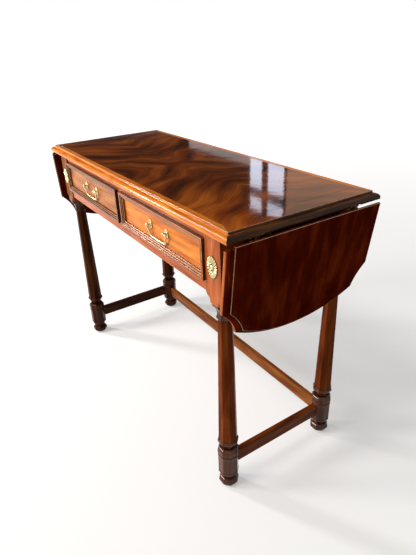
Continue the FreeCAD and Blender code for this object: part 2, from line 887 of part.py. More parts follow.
def end_apron():
    rail = box(apron_inner_x, apron_outer_x, -block_inner_y, block_inner_y, block_bottom, top_underside)
    middle = (apron_inner_x + apron_outer_x) / 2
    tenon = box(
        middle - tenon_thickness / 2, middle + tenon_thickness / 2, -block_inner_y - tenon_length,
        block_inner_y + tenon_length, block_bottom + tenon_shoulder, top_underside - tenon_shoulder)
    return joined([rail, tenon])


def rounded_bar(length_axis, x0, x1, y0, y1, z0, z1):
    """A stretcher with its long edges eased."""
    bar = box(x0, x1, y0, y1, z0, z1)
    long_edges = [
        e for e in bar.Edges
        if abs((e.Vertexes[1].Point - e.Vertexes[0].Point).normalize().dot(length_axis)) > arc_middle_share]
    return bar.makeFillet(stretcher_edge_round, long_edges)


def side_stretcher():
    """Front-to-back stretcher, coped to the octagonal blocks, with a tenon in each leg."""
    low, high = side_stretcher_bottom, side_stretcher_bottom + stretcher_height
    half = stretcher_width / 2
    bar = rounded_bar(Y, leg_x - half, leg_x + half, -leg_y, leg_y, low, high)
    bar = bar.cut(ALL_LEGS)
    bar = max(bar.Solids, key=lambda s: s.Volume)
    reach = leg_y - lower_block_width / 2 + stretcher_tenon_depth
    middle = (low + high) / 2
    tenon = box(
        leg_x - stretcher_tenon_thickness / 2, leg_x + stretcher_tenon_thickness / 2, -reach, reach,
        middle - stretcher_tenon_height / 2, middle + stretcher_tenon_height / 2)
    return joined([bar, tenon])


def rear_stretcher():
    low, high = rear_stretcher_bottom, rear_stretcher_bottom + stretcher_height
    half = stretcher_width / 2
    bar = rounded_bar(X, -leg_x, leg_x, leg_y - half, leg_y + half, low, high)
    bar = bar.cut(ALL_LEGS)
    bar = max(bar.Solids, key=lambda s: s.Volume)
    reach = leg_x - lower_block_width / 2 + stretcher_tenon_depth
    middle = (low + high) / 2
    tenon = box(
        -reach, reach, leg_y - stretcher_tenon_thickness / 2, leg_y + stretcher_tenon_thickness / 2,
        middle - stretcher_tenon_height / 2, middle + stretcher_tenon_height / 2)
    return joined([bar, tenon])


def rosette_nails(side_x):
    """Two nails behind a rosette, up and down its middle line."""
    z = table_height - rosette_below_top
    return [
        rod(rosette_nail_radius, Vector(side_x * leg_x, -block_outer_y, z + up * rosette_height / 4), Y,
            rosette_nail_length)
        for up in (-1, 1)]


def glide(side_x, side_y):
    """A glide with a rounded rim and its nail up the middle of the foot."""
    flat = glide_radius - glide_height
    face = outline(on_xz, [
        (0, 0),
        (flat, 0),
        (
            flat + glide_height * arc_middle_share, glide_height * (1 - arc_middle_share),
            glide_radius, glide_height),
        (glide_nail_radius, glide_height),
        (glide_nail_radius, glide_height + glide_nail_length),
        (0, glide_height + glide_nail_length + glide_nail_radius),
    ])
    shape = face.revolve(ORIGIN, Z, 360)
    shape.translate(Vector(side_x * leg_x, side_y * leg_y, 0))
    return shape


def corner_block():
    """A triangular glue block in the rear corner between the rear apron and a leg."""
    x1, y1 = block_inner_x, rear_apron_inner_y
    corners = [Vector(x1, y1, 0), Vector(x1 - corner_block_leg, y1, 0), Vector(x1, y1 - corner_block_leg, 0)]
    face = Part.Face(Part.makePolygon(corners + corners[:1]))
    middle = (block_bottom + top_underside) / 2
    face.translate(Vector(0, 0, middle - corner_block_height / 2))
    return face.extrude(Vector(0, 0, corner_block_height))


def runners():
    """Rebated runners: a shelf under a drawer's side with the guide that stands on it."""
    y0, y1 = -rail_face_y + rail_depth, rear_apron_inner_y
    low = opening_bottom - runner_thickness
    outer_shelf = box(opening_outer_x - runner_overlap, apron_inner_x, y0, y1, low, opening_bottom)
    outer_shelf = outer_shelf.cut(ALL_LEGS)
    outer_shelf = max(outer_shelf.Solids, key=lambda s: s.Volume)
    guide_top = opening_bottom + guide_height
    outer_guide = box(
        opening_outer_x, apron_inner_x, -block_inner_y, block_inner_y, opening_bottom, guide_top)
    outer = joined([outer_shelf, outer_guide])
    half = opening_inner_x + runner_overlap
    middle_shelf = box(-half, half, y0, y1, low, opening_bottom)
    middle_guide = box(-opening_inner_x, opening_inner_x, y0, y1, opening_bottom, guide_top)
    return both_ends(outer) + [joined([middle_shelf, middle_guide])]


def kickers():
    """Strips under the top that keep an open drawer from tipping, and that the top is screwed to."""
    y0, y1 = -rail_face_y + rail_depth, rear_apron_inner_y
    outer = box(opening_outer_x - runner_overlap, apron_inner_x, y0, y1, opening_top, top_underside)
    outer = outer.cut(ALL_LEGS)
    outer = max(outer.Solids, key=lambda s: s.Volume)
    half = opening_inner_x + runner_overlap
    middle = box(-half, half, y0, y1, opening_top, top_underside)
    holes = [placed(TOP_HOLE, p) for p in top_fixing_points()]
    return [strip.cut(holes) for strip in both_ends(outer) + [middle]]


def drawer_stops():
    """A low block on the bottom rail behind each drawer front."""
    y0 = drawer_back_face_y + stop_clearance
    stop = box(
        drawer_centre_x - stop_length / 2, drawer_centre_x + stop_length / 2, y0, y0 + stop_depth,
        opening_bottom, opening_bottom + stop_height)
    return both_ends(stop)


def centre_stile():
    """The upright between the drawers, with a tenon up and down."""
    y0 = -rail_face_y
    post = box(-opening_inner_x, opening_inner_x, y0, y0 + rail_depth, opening_bottom, opening_top)
    tenon = box(
        -tenon_thickness / 2, tenon_thickness / 2, y0 + tenon_shoulder, y0 + rail_depth - tenon_shoulder,
        opening_bottom - tenon_thickness, opening_top + tenon_thickness)
    return joined([post, tenon])


def make_frame():
    y_front = -rail_face_y
    stile = centre_stile()
    top_rail = member_along_x(block_inner_x, y_front, y_front + rail_depth, opening_top, top_underside)
    bottom_rail = member_along_x(block_inner_x, y_front, y_front + rail_depth, block_bottom, opening_bottom)
    rear = member_along_x(block_inner_x, rear_apron_inner_y, rail_face_y, block_bottom, top_underside)
    side = side_stretcher()
    long = rear_stretcher()
    right_apron = end_apron()
    bracket_holes = [placed(FITTING_HOLE, p, -X) for p in APRON_BRACKET_SCREWS]
    members = [top_rail, bottom_rail, rear, right_apron, mirror_x(right_apron), side, mirror_x(side), long]
    glides = {name: glide(*sides) for name, sides in LEGS.items()}
    for name, sides in LEGS.items():
        tools = members + [glides[name]]
        if sides[1] < 0:
            tools = tools + rosette_nails(sides[0])
        save(name, [leg_at(*sides).cut(tools)])
    save("foot_glides", list(glides.values()))
    save("front_top_rail", [top_rail.cut(stile)])
    save("front_bottom_rail", [bottom_rail.cut(stile)])
    save("centre_stile", [stile])
    save("rear_apron", [rear])
    save("right_end_apron", [right_apron.cut(bracket_holes)])
    save("left_end_apron", [mirror_x(right_apron.cut(bracket_holes))])
    save("right_stretcher", [side])
    save("left_stretcher", [mirror_x(side)])
    save("rear_stretcher", [long])
    save("drawer_runners", runners())
    save("drawer_kickers", kickers())
    save("drawer_stops", drawer_stops())
    save("corner_blocks", both_ends(corner_block()))


# Rosettes

def oval(width, height, thickness, centre, petals=0, petal_radius=0.0):
    """An upright oval plate standing off its face towards the front, with a ring of round petals."""
    ellipse = Part.Ellipse(Vector(0, height / 2, 0), Vector(width / 2, 0, 0), ORIGIN)
    plate = Part.Face(Part.Wire([ellipse.toShape()])).extrude(Vector(0, 0, thickness))
    rounds = []
    for k in range(petals):
        angle = 2 * math.pi * k / petals
        at = Vector(width / 2 * math.cos(angle), height / 2 * math.sin(angle), 0)
        rounds.append(Part.makeCylinder(petal_radius, thickness, at))
    if rounds:
        plate = plate.fuse(rounds).removeSplitter()
    plate.Placement = FreeCAD.Placement(centre, FreeCAD.Rotation(X, 90))
    return plate


def rosette(side_x):
    """An oval sunburst: a plate with a petalled rim, a raised boss and two nails."""
    centre = Vector(side_x * leg_x, -block_outer_y, table_height - rosette_below_top)
    rim_width = rosette_width - 2 * rosette_petal_radius
    rim_height = rosette_height - 2 * rosette_petal_radius
    plate = oval(rim_width, rim_height, rosette_thickness, centre, rosette_petal_count, rosette_petal_radius)
    boss = oval(
        rosette_width * rosette_boss_share, rosette_height * rosette_boss_share,
        rosette_thickness + rosette_boss_height, centre)
    return joined([plate, boss] + rosette_nails(side_x))


# Drawers, worked out for the right-hand drawer

def drawer_tails(side_x_low, side_x_high, front_y, low, high):
    """The dovetails of one drawer side, as prisms that enter the drawer front from behind."""
    pitch = (high - low) / tail_count
    tails = []
    for k in range(tail_count):
        middle = low + pitch * (k + 0.5)
        wide, narrow = tail_width / 2, tail_width / 2 - tail_flare
        face = outline(on_yz, [
            (front_y, middle - narrow),
            (front_y - tail_length, middle - wide),
            (front_y - tail_length, middle + wide),
            (front_y, middle + narrow),
        ])
        face.translate(Vector(side_x_low, 0, 0))
        tails.append(face.extrude(Vector(side_x_high - side_x_low, 0, 0)))
    return tails


def reeded_section():
    """Section of the planted frame: a flat rim, then a slope of reeds, then a small step to the field.

    The first coordinate runs inwards from the rim, the second stands off the field.
    """
    slope = frame_width - frame_rim_width
    fall = frame_height - frame_step
    steps = [(0, 0), (0, frame_height), (frame_rim_width, frame_height)]
    reed_run, reed_fall = slope / reed_count, fall / reed_count
    length = math.hypot(reed_run, reed_fall)
    bulge = length * reed_bulge_share
    for k in range(reed_count):
        u0, v0 = frame_rim_width + k * reed_run, frame_height - k * reed_fall
        steps.append((
            u0 + reed_run / 2 + bulge * reed_fall / length,
            v0 - reed_fall / 2 + bulge * reed_run / length,
            u0 + reed_run, v0 - reed_fall))
    steps.append((frame_width, 0))
    return steps


def reeded_frame(x0, x1, z0, z1):
    """The four mitred strips of the frame, planted on the field of one drawer front."""
    y_field = -rail_face_y

    def strip(place, direction, length, wedge):
        face = outline(place, reeded_section())
        return face.extrude(direction * length).common(wedge)

    centre_z = (z0 + z1) / 2
    half_z = (z1 - z0) / 2

    def wedge(corners):
        face = Part.Face(Part.makePolygon(corners + corners[:1]))
        face.translate(Vector(0, y_field + overrun, 0))
        return face.extrude(Vector(0, -frame_height - 2 * overrun, 0))

    left = wedge([on_xz(x0, z0), on_xz(x0 + half_z, centre_z), on_xz(x0, z1)])
    right = wedge([on_xz(x1, z0), on_xz(x1 - half_z, centre_z), on_xz(x1, z1)])
    low = wedge([on_xz(x0, z0), on_xz(x1, z0), on_xz(x1 - half_z, centre_z), on_xz(x0 + half_z, centre_z)])
    high = wedge([on_xz(x0, z1), on_xz(x1, z1), on_xz(x1 - half_z, centre_z), on_xz(x0 + half_z, centre_z)])
    return [
        strip(lambda u, v: Vector(x0 + u, y_field - v, z0), Z, z1 - z0, left),
        strip(lambda u, v: Vector(x1 - u, y_field - v, z0), Z, z1 - z0, right),
        strip(lambda u, v: Vector(x0, y_field - v, z0 + u), X, x1 - x0, low),
        strip(lambda u, v: Vector(x0, y_field - v, z1 - u), X, x1 - x0, high),
    ]


HANDLE_XS = [drawer_centre_x - handle_centres / 2, drawer_centre_x + handle_centres / 2]
post_y = -rail_face_y - post_reach


def handle_post(x):
    """A turned post: a shank through the drawer front, a neck and a ball bored for the bail's pivot."""
    def place(radius, reach):
        return Vector(0, -reach, radius)

    tail = -drawer_front_thickness - nut_thickness
    neck_end = post_reach - math.sqrt(post_ball_radius ** 2 - post_radius ** 2)
    face = outline(place, [
        (0, tail),
        (post_shank_radius, tail),
        (post_shank_radius, plate_thickness),
        (post_flare_radius, plate_thickness),
        (post_radius, (plate_thickness + neck_end) / 2, post_radius, neck_end),
        (post_ball_radius, post_reach, 0, post_reach + post_ball_radius),
    ])
    post = face.revolve(ORIGIN, Y, 360)
    post.translate(Vector(x, -rail_face_y, handle_z))
    bore_start = Vector(x - handle_centres / 2, post_y, handle_z)
    return post.cut(rod(bail_pivot_radius + running_clearance, bore_start, X, handle_centres))


def handle_plate(x):
    """A small lobed oval plate behind a post."""
    centre = Vector(x, -rail_face_y, handle_z)
    width, height = plate_width - 2 * plate_lobe_radius, plate_height - 2 * plate_lobe_radius
    plate = oval(width, height, plate_thickness, centre, plate_lobe_count, plate_lobe_radius)
    hole = rod(post_shank_radius, centre + Y * overrun, -Y, 2 * overrun)
    return plate.cut(hole)


def handle_nut(x):
    """A round nut on the post's shank behind the drawer front."""
    back = Vector(x, drawer_back_face_y, handle_z)
    return rod(nut_radius, back, Y, nut_thickness).cut(rod(post_shank_radius, back, Y, nut_thickness))


def bent_rod(radius, start, heading_deg, moves):
    """A round bar in the XZ plane, as a list of solids, and where it ends.

    The heading is the angle from +X towards +Z. A move is (length,) for a straight run or (bend radius,
    turn) for a bend by that many degrees, positive to the left of the heading.
    """
    pieces = []
    here, heading = start, heading_deg
    for move in moves:
        angle = math.radians(heading)
        ahead = Vector(math.cos(angle), 0, math.sin(angle))
        if len(move) == 1:
            pieces.append(rod(radius, here, ahead, move[0]))
            here = here + ahead * move[0]
            continue
        bend, turn = move
        left = Vector(-ahead.z, 0, ahead.x) * math.copysign(1, turn)
        centre = here + left * bend
        ring = Part.Face(Part.Wire([Part.Circle(here, ahead, radius).toShape()]))
        pieces.append(ring.revolve(centre, -Y * math.copysign(1, turn), abs(turn)))
        here = turned(Part.Vertex(here), centre, -Y, turn).Point
        heading += turn
    return pieces, here


def bail():
    """A swan-neck bail: pivots in the posts, shoulders outside them, necks curving in to a swelled grip.

    It hangs turned in about its pivots, until its grip rests against the drawer front.
    """
    half = handle_centres / 2
    pivot_start = half - post_ball_radius / 2
    arm_start = half + post_ball_radius + running_clearance
    pivot = rod(bail_pivot_radius, Vector(pivot_start, 0, 0), X, arm_start - pivot_start)
    shoulder_turn = 90 + bail_lean_deg
    moves = [
        (bail_shoulder_radius, -shoulder_turn),
        (bail_neck_run,),
        (bail_neck_radius, bail_lean_deg),
        (bail_corner_radius, -90),
    ]
    curve, end = bent_rod(bail_radius, Vector(arm_start, 0, 0), 0, moves)
    grip = rod(bail_radius, Vector(0, 0, end.z), X, end.x)
    swell = Part.makeCone(bail_swell_radius, bail_radius, bail_swell_length, Vector(0, 0, end.z), X)
    half_bail = joined([pivot] + curve + [grip, swell])
    whole = joined([half_bail, mirror_x(half_bail)])
    lean_in = math.asin((post_reach - bail_swell_radius - bail_rest_gap) / -end.z)
    whole = turned(whole, ORIGIN, X, math.degrees(lean_in))
    whole.translate(Vector(drawer_centre_x, post_y, handle_z))
    print("bail", drawer_centre_x, "leans in", math.degrees(lean_in), "drop", end.z, "half grip", end.x)
    return whole


def make_drawers():
    """Every piece of the right-hand drawer, and its mirror image for the left-hand one."""
    x0, x1 = opening_inner_x + drawer_gap, opening_outer_x - drawer_gap
    z0, z1 = opening_bottom + drawer_gap, opening_top - drawer_gap
    y_field, y_back = -rail_face_y, drawer_back_face_y
    side_low = opening_bottom + drawer_lift
    side_high = side_low + drawer_side_height
    left_x0 = x0
    left_x1 = left_x0 + drawer_side_thickness
    right_x1 = x1
    right_x0 = right_x1 - drawer_side_thickness
    bottom_low = side_low + drawer_bottom_rise
    bottom_high = bottom_low + drawer_bottom_thickness
    bottom = box(
        left_x1 - drawer_groove_depth, right_x0 + drawer_groove_depth, y_back - drawer_groove_depth,
        drawer_end_y, bottom_low, bottom_high)
    back = box(
        left_x1 - drawer_groove_depth, right_x0 + drawer_groove_depth, drawer_end_y - drawer_back_thickness,
        drawer_end_y, bottom_high, side_high - drawer_back_drop)
    sides = []
    tails = []
    for low_x, high_x in ((left_x0, left_x1), (right_x0, right_x1)):
        board = box(low_x, high_x, y_back, drawer_end_y, side_low, side_high)
        own_tails = drawer_tails(low_x, high_x, y_back, side_low, side_high)
        tails += own_tails
        sides.append(joined([board] + own_tails).cut([bottom, back]))
    posts = [handle_post(x) for x in HANDLE_XS]
    front = box(x0, x1, y_field, y_back, z0, z1).cut(tails + [bottom] + posts)
    nodes = {
        "drawer_front": [front],
        "drawer_reeded_frame": reeded_frame(x0, x1, z0, z1),
        "drawer_sides": sides,
        "drawer_back": [back],
        "drawer_bottom": [bottom],
        "handle_plates": [handle_plate(x) for x in HANDLE_XS],
        "handle_posts": posts,
        "handle_nuts": [handle_nut(x) for x in HANDLE_XS],
        "handle_bail": [bail()],
    }
    for name, shapes in nodes.items():
        save("right_" + name, shapes)
        save("left_" + name, [mirror_x(s) for s in shapes])


make_top()
make_leaves()
make_root_fittings()
make_frame()
save("rosettes", [rosette(-1), rosette(1)])
make_drawers()
print("pin", pin_x, pin_z, "handle pivot y z", post_y, handle_z, "centre x", drawer_centre_x)
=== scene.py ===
# %% [markdown]
# # A drop-leaf console table in mahogany
#
# This lesson dresses a table whose solids are already made. We load those solids as a fixed frame, give each
# one the finish of the real piece, and make anew only what gains from a closer surface: the turned legs, the
# reeded frames of the drawers, the cast brass, and the boards whose arrises a maker eases with sandpaper.
#
# The origin is on the floor under the middle of the top. +X runs to the right-hand end as one faces the
# drawers, the drawers face -Y, and +Z is up. Blender works in metres, and a maker's sizes are millimetres, so
# the sizes below are written in millimetres and turned once.

import json
import math

import bmesh
import bpy
import numpy as np
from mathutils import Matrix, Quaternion, Vector


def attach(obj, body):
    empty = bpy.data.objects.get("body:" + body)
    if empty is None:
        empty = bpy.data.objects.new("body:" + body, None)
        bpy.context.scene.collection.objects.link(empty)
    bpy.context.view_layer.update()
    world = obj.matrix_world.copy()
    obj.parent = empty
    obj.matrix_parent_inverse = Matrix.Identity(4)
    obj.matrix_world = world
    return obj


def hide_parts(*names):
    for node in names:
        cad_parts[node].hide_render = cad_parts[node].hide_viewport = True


MM = 0.001

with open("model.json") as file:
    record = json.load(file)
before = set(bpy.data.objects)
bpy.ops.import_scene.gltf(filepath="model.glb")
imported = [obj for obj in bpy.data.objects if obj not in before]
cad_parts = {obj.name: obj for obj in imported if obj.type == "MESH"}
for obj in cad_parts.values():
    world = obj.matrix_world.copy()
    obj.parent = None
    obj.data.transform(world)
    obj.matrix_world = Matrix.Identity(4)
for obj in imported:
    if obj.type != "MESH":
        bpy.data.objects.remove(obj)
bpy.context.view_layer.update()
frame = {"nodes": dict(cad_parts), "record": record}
BODY_OF = {name: body for body, names in frame["record"]["behaviour"]["bodies"].items() for name in names}
SIDES = {"left": -1, "right": 1}

# %% [markdown]
# ## Colours and nodes
#
# A colour is given as an sRGB hex value, while a shader adds light in linear values. One function turns
# the first into the second. A second function adds a node, fills its sockets and sets its options, so that a
# material reads as a short recipe.

# %% Two helpers for every material
def colour(hex_text):
    """Linear RGBA of an sRGB hex value: c / 12.92 up to 0.04045, and ((c + 0.055) / 1.055) ** 2.4 above."""
    srgb = np.array([int(hex_text[i:i + 2], 16) for i in (1, 3, 5)]) / 255
    linear = np.where(srgb <= 0.04045, srgb / 12.92, ((srgb + 0.055) / 1.055) ** 2.4)
    return (*linear.tolist(), 1.0)


def node(tree, kind, inputs=(), stops=None, out=0, **settings):
    """Adds a node and returns one output.

    inputs are values or sockets, in a dict by name or in a tuple in the node's own order. stops are a ramp's
    places and colours, and settings are the node's options.
    """
    made = tree.nodes.new("ShaderNode" + kind)
    for name, value in settings.items():
        setattr(made, name, value)
    if stops:
        ramp = made.color_ramp.elements
        while len(ramp) < len(stops):
            ramp.new(1.0)
        for element, (place, rgba) in zip(ramp, stops):
            element.position = place
            element.color = rgba
    for socket, value in inputs.items() if isinstance(inputs, dict) else enumerate(inputs):
        if isinstance(value, bpy.types.NodeSocket):
            tree.links.new(value, made.inputs[socket])
        else:
            made.inputs[socket].default_value = value
    return made.outputs[out]


def new_material(name):
    """A node material with its tree and its shader."""
    material = bpy.data.materials.new(name)
    material.use_nodes = True
    tree = material.node_tree
    return material, tree, tree.nodes["Principled BSDF"]


def set_shader(tree, shader, **values):
    """Fills the shader's sockets: base_color fills Base Color, and so on. A socket given is linked."""
    for name, value in values.items():
        socket = shader.inputs[name.replace("_", " ").title().replace("Ior", "IOR")]
        if isinstance(value, bpy.types.NodeSocket):
            tree.links.new(value, socket)
        else:
            socket.default_value = value


print("a mid grey in linear light:", round(colour("#808080")[0], 4))

# %% [markdown]
# ## Grain worked out in space
#
# A picture of wood would repeat and would stop at every corner, so the grain here is noise worked out in
# space, drawn long along the board and short across it, at sizes in millimetres. It runs through a board as
# real grain does, and end grain shows by itself. Each board only has to say which way its grain runs.

# %% Coordinates that run along the grain
GRAIN_TURN = {"x": (0.0, 0.0, 0.0), "y": (0.0, 0.0, math.pi / 2), "z": (0.0, math.pi / 2, 0.0)}
GRAIN_DRIFT = (14 * MM,) * 3
DRIFTS_PER_METRE = 5.0


def drifted(tree, place, reach):
    """A place moved by a slow noise, up to half of reach to each side: place + (noise - 0.5) * reach."""
    noise = node(tree, "TexNoise", {"Vector": place, "Scale": DRIFTS_PER_METRE, "Detail": 1.0}, out="Color")
    centred = node(tree, "VectorMath", (noise, (0.5, 0.5, 0.5)), operation="SUBTRACT")
    return node(tree, "VectorMath", (centred, reach, place), operation="MULTIPLY_ADD")


def grain_space(tree, along, shift, tilt=0.0):
    """Object coordinates turned so that the grain runs along X, then bent a few millimetres."""
    turn = np.array(GRAIN_TURN[along]) + np.array([0.0, tilt, 0.0])
    place = node(tree, "TexCoord", out="Object")
    straight = node(tree, "Mapping", {"Vector": place, "Rotation": turn.tolist(), "Location": (shift,) * 3})
    return drifted(tree, straight, GRAIN_DRIFT)


def long_noise(tree, space, length_mm, width_mm, detail, rough):
    """Noise whose blots are length_mm long and width_mm wide: each axis is divided by its blot's size."""
    per_blot = (1 / (length_mm * MM), 1 / (width_mm * MM), 1 / (width_mm * MM))
    scaled = node(tree, "VectorMath", (space, per_blot), operation="MULTIPLY")
    return node(tree, "TexNoise", {"Vector": scaled, "Scale": 1.0, "Detail": detail, "Roughness": rough})


print("grain axes:", sorted(GRAIN_TURN))

# %% [markdown]
# ## Mahogany under lacquer
#
# Mahogany is a red-brown timber. Its interlocked fibres show as soft ribbons of light and dark, and its pores
# are short dark dashes. The maker stained it, filled it and sprayed a gloss lacquer over it, so the eye sees
# brown depth under a smooth clear coat that picks up a lamp as a crisp line along each eased arris. Real
# fibres are 0.2 mm wide. Here they are drawn about 2 mm wide, since finer ones vanish in a picture of the
# whole table, with the pores half as wide. On the turned and moulded pieces the grooves are darkened, a
# painted shade, and the arrises made paler, a painted highlight. Their meshes say where, by an attribute
# that is 1 deep in a groove and -1 on an arris.

# %% The finish of every visible board
NOISE_SPAN = (0.3, 0.7)  # most of what a noise gives lies between these two
PORE_PEAKS = (0.6, 0.72)  # a pore is where the noise peaks
RIBBON_STRETCH = 9  # a ribbon is this many times as long as it is wide
# A groove keeps this share of its colour as painted shade, and an arris gains this much as painted highlight.
GROOVE_SHADE, ARRIS_HIGHLIGHT = 0.07, 1.5


def stain_stops(stains, spread):
    """A ramp's stops: the middle stain at 0.5, and the dark and the light one spread to its two sides."""
    return [(0.5 + k * spread, colour(stain)) for k, stain in zip((-1, 0, 1), stains)]


def shade_of(tree, parts):
    """One number that darkens or lightens, the product of its parts.

    A part is a value and two ranges. The value is stretched from one to the other and held at its ends.
    """
    shade = 1.0
    for part in parts:
        shade = node(tree, "Math", (shade, node(tree, "MapRange", part)), operation="MULTIPLY")
    return shade


def lacquered_mahogany(name, along, stains, ribbon_mm, gloss, sheen, shift, tilt=0.0, grooved=False):
    """Ribbons pick the colour from three stains, fibres and pores shade it, and fibres show in the coat.

    gloss is the coat's roughness where it is smoothest, and sheen is how much it mirrors. shift slides the
    pattern in metres, so that two boards don't share their grain.
    """
    material, tree, shader = new_material(name)
    space = grain_space(tree, along, shift, tilt)
    ribbon = long_noise(tree, space, RIBBON_STRETCH * ribbon_mm, ribbon_mm, 2.0, 0.5)
    fibre = long_noise(tree, space, 70, 2.2, 3.0, 0.6)
    pore = long_noise(tree, space, 8, 0.9, 1.0, 0.4)
    stain = node(tree, "ValToRGB", (ribbon,), stain_stops(stains, 0.22))
    parts = [(fibre, *NOISE_SPAN, 0.86, 1.12), (pore, *PORE_PEAKS, 1.0, 0.7)]
    # The mesh's hollow attribute paints shade into grooves and highlights onto arrises.
    if grooved:
        depth = node(tree, "Attribute", attribute_name="hollow", out="Fac")
        parts += [(depth, 0.0, 1.0, 1.0, GROOVE_SHADE), (depth, -1.0, 0.0, ARRIS_HIGHLIGHT, 1.0)]
    set_shader(
        tree, shader,
        base_color=node(tree, "VectorMath", (stain, shade_of(tree, parts)), operation="MULTIPLY"),
        roughness=node(tree, "MapRange", (fibre, *NOISE_SPAN, gloss + 0.08, gloss)),
        normal=node(tree, "Bump", {"Height": fibre, "Strength": 0.12, "Distance": 0.15 * MM}),
        specular_ior_level=sheen)
    return material


# An arris's paler colour is a painted highlight.
print("a groove keeps", GROOVE_SHADE, "of its colour, and a rubbed arris has", ARRIS_HIGHLIGHT, "times its own")

# %% [markdown]
# This is one timber, stained in many ways, and some of its finishes paint the light and shade that fall on
# it. The boards of the right half have golden and chestnut stains as full light shows them, and those of the
# left half have darker copies of them, which are painted shade. The leaves and the end lippings have dark
# stains that are painted shade, and the right leaf's edge has a lighter one, a painted light. Rings and feet
# are a darker brown. The leaves, the shafts and the bars mirror least. Each finish is one row of a table: the
# key and the name it goes by, the way of the grain, the three stains, the width of a ribbon in millimetres,
# gloss, sheen and shift, and whatever else it needs.

# %% Stains from dark to light, and the boards that have them
GOLDEN = ("#b4560c", "#dc7a1c", "#f29632")  # golden orange, as full light shows it
GOLDEN_SHADED = ("#8a4412", "#ae6422", "#c47c34")  # golden with painted shade, for the left half
CHESTNUT = ("#8a3e14", "#b85a24", "#cc7234")  # warm red-brown
UMBER = ("#64300f", "#86481a", "#a4622a")  # painted shade on the left blocks; the rear bar's colour
TURNED = ("#532009", "#733410", "#8a451a")  # the darker stain of the legs
TURNED_DARKER = ("#3c1c0a", "#57290f", "#703e1a")  # the same stain, darker, for the right rings and feet
SHADED = ("#2c1107", "#42200d", "#5a3014")  # darkest brown: painted shade, left legs and bar
OLIVE_SHADED = ("#2f190a", "#4c2c12", "#76491f")  # dark olive brown, painted shade on the end lippings
RED_SHADED = ("#400e03", "#561504", "#72290b")  # deep red, painted shade on the hanging leaves
PALE_HIGHLIGHT = ("#8f5a34", "#b57f55", "#cf9d72")  # pale arrises, a painted highlight
HANG_TILT = math.radians(7.3)  # a hanging leaf leans in by this, and its grain with it
GROOVED = {"grooved": True}

# The left rows, the leaves, the end lippings and the leaf edges paint light and shade into their stains.
FINISHES = [
    ("right_drawer", "golden_lacquered", "x", GOLDEN, 14, 0.2, 0.1, 0.0, {}),
    ("left_drawer", "brown_lacquered", "x", GOLDEN_SHADED, 14, 0.2, 0.1, 0.41, {}),
    ("moulding", "moulding_lacquered", "x", GOLDEN, 9, 0.12, 0.2, 0.31, {}),
    ("right_reeds", "golden_reeds", "x", GOLDEN, 9, 0.1, 0.3, 0.23, GROOVED),
    ("left_reeds", "brown_reeds", "x", GOLDEN_SHADED, 9, 0.1, 0.3, 0.53, GROOVED),
    ("rail", "chestnut_rail", "x", CHESTNUT, 12, 0.2, 0.1, 0.17, {}),
    ("right_block", "chestnut_stile", "z", CHESTNUT, 12, 0.2, 0.1, 0.17, {}),
    ("left_block", "umber_block", "z", UMBER, 12, 0.2, 0.05, 0.27, {}),
    ("apron", "apron_end", "y", TURNED, 12, 0.24, 0.08, 0.43, {}),
    ("end_lipping", "end_lipping", "y", OLIVE_SHADED, 12, 0.12, 0.1, 0.59, {}),
    ("right_shaft", "shaft_lacquered", "z", TURNED, 14, 0.2, 0.02, 0.05, GROOVED),
    ("right_rings", "rings_polished", "z", TURNED_DARKER, 14, 0.05, 0.25, 0.05, GROOVED),
    ("left_shaft", "shaft_dark", "z", SHADED, 14, 0.2, 0.02, 0.65, GROOVED),
    ("left_rings", "rings_dark", "z", SHADED, 14, 0.05, 0.1, 0.65, GROOVED),
    ("long_bar", "bar_long", "x", UMBER, 14, 0.2, 0.05, 0.71, {}),
    ("right_bar", "bar_cross", "y", TURNED, 14, 0.2, 0.05, 0.83, {}),
    ("left_bar", "bar_dark", "y", SHADED, 14, 0.2, 0.05, 0.93, {}),
    ("right_leaf", "right_leaf", "z", RED_SHADED, 26, 0.16, 0.0, 0.37, {"tilt": HANG_TILT}),
    ("left_leaf", "left_leaf", "z", RED_SHADED, 26, 0.16, 0.0, 0.67, {"tilt": -HANG_TILT}),
    ("right_leaf_edge", "leaf_edge", "z", CHESTNUT, 12, 0.16, 0.1, 0.47, {}),
    ("left_leaf_edge", "leaf_edge_dark", "z", SHADED, 12, 0.16, 0.05, 0.57, {}),
    ("rubbed", "arris_rubbed_pale", "x", PALE_HIGHLIGHT, 9, 0.1, 0.7, 0.11, {}),
]
wood = {
    key: lacquered_mahogany("mahogany_" + name, *values, **extra)
    for key, name, *values, extra in FINISHES}
print("mahogany finishes:", len(wood))

# %% [markdown]
# ## The matched veneer of the top
#
# The top is veneered with four leaves cut from the fork of a tree, where the fibres sweep apart like a
# feather. Opened like a book and turned end for end, the four match along the middle of the table and across
# it. The shader does the same: it folds the table's plan by taking the size of x and of y without their
# signs, and then draws plumes that leave the long joint and lean outwards, 8 mm along for each 10 mm across.
# Towards the right front corner the colour is lightened to orange, a painted pool of light. A clear gloss
# coat lies on the stain. It was sprayed and rubbed by hand, so it waves by a tenth of a millimetre every 45
# mm, and what it mirrors wavers.
# The veneer's pores are drawn 1 mm wide, wider than real ones, so that they show.

# %% Four matched leaves of crotch veneer
FEATHER_LEAN = 0.8
FEATHER_DRIFT = (140 * MM, 100 * MM, 0)
JOINT_HALF = 0.35 * MM
LIGHT_POOL_WAY = (0.7, -1.5, 0.0)
COAT_WAVE, COAT_WAVE_DEPTH = 45 * MM, 0.12 * MM


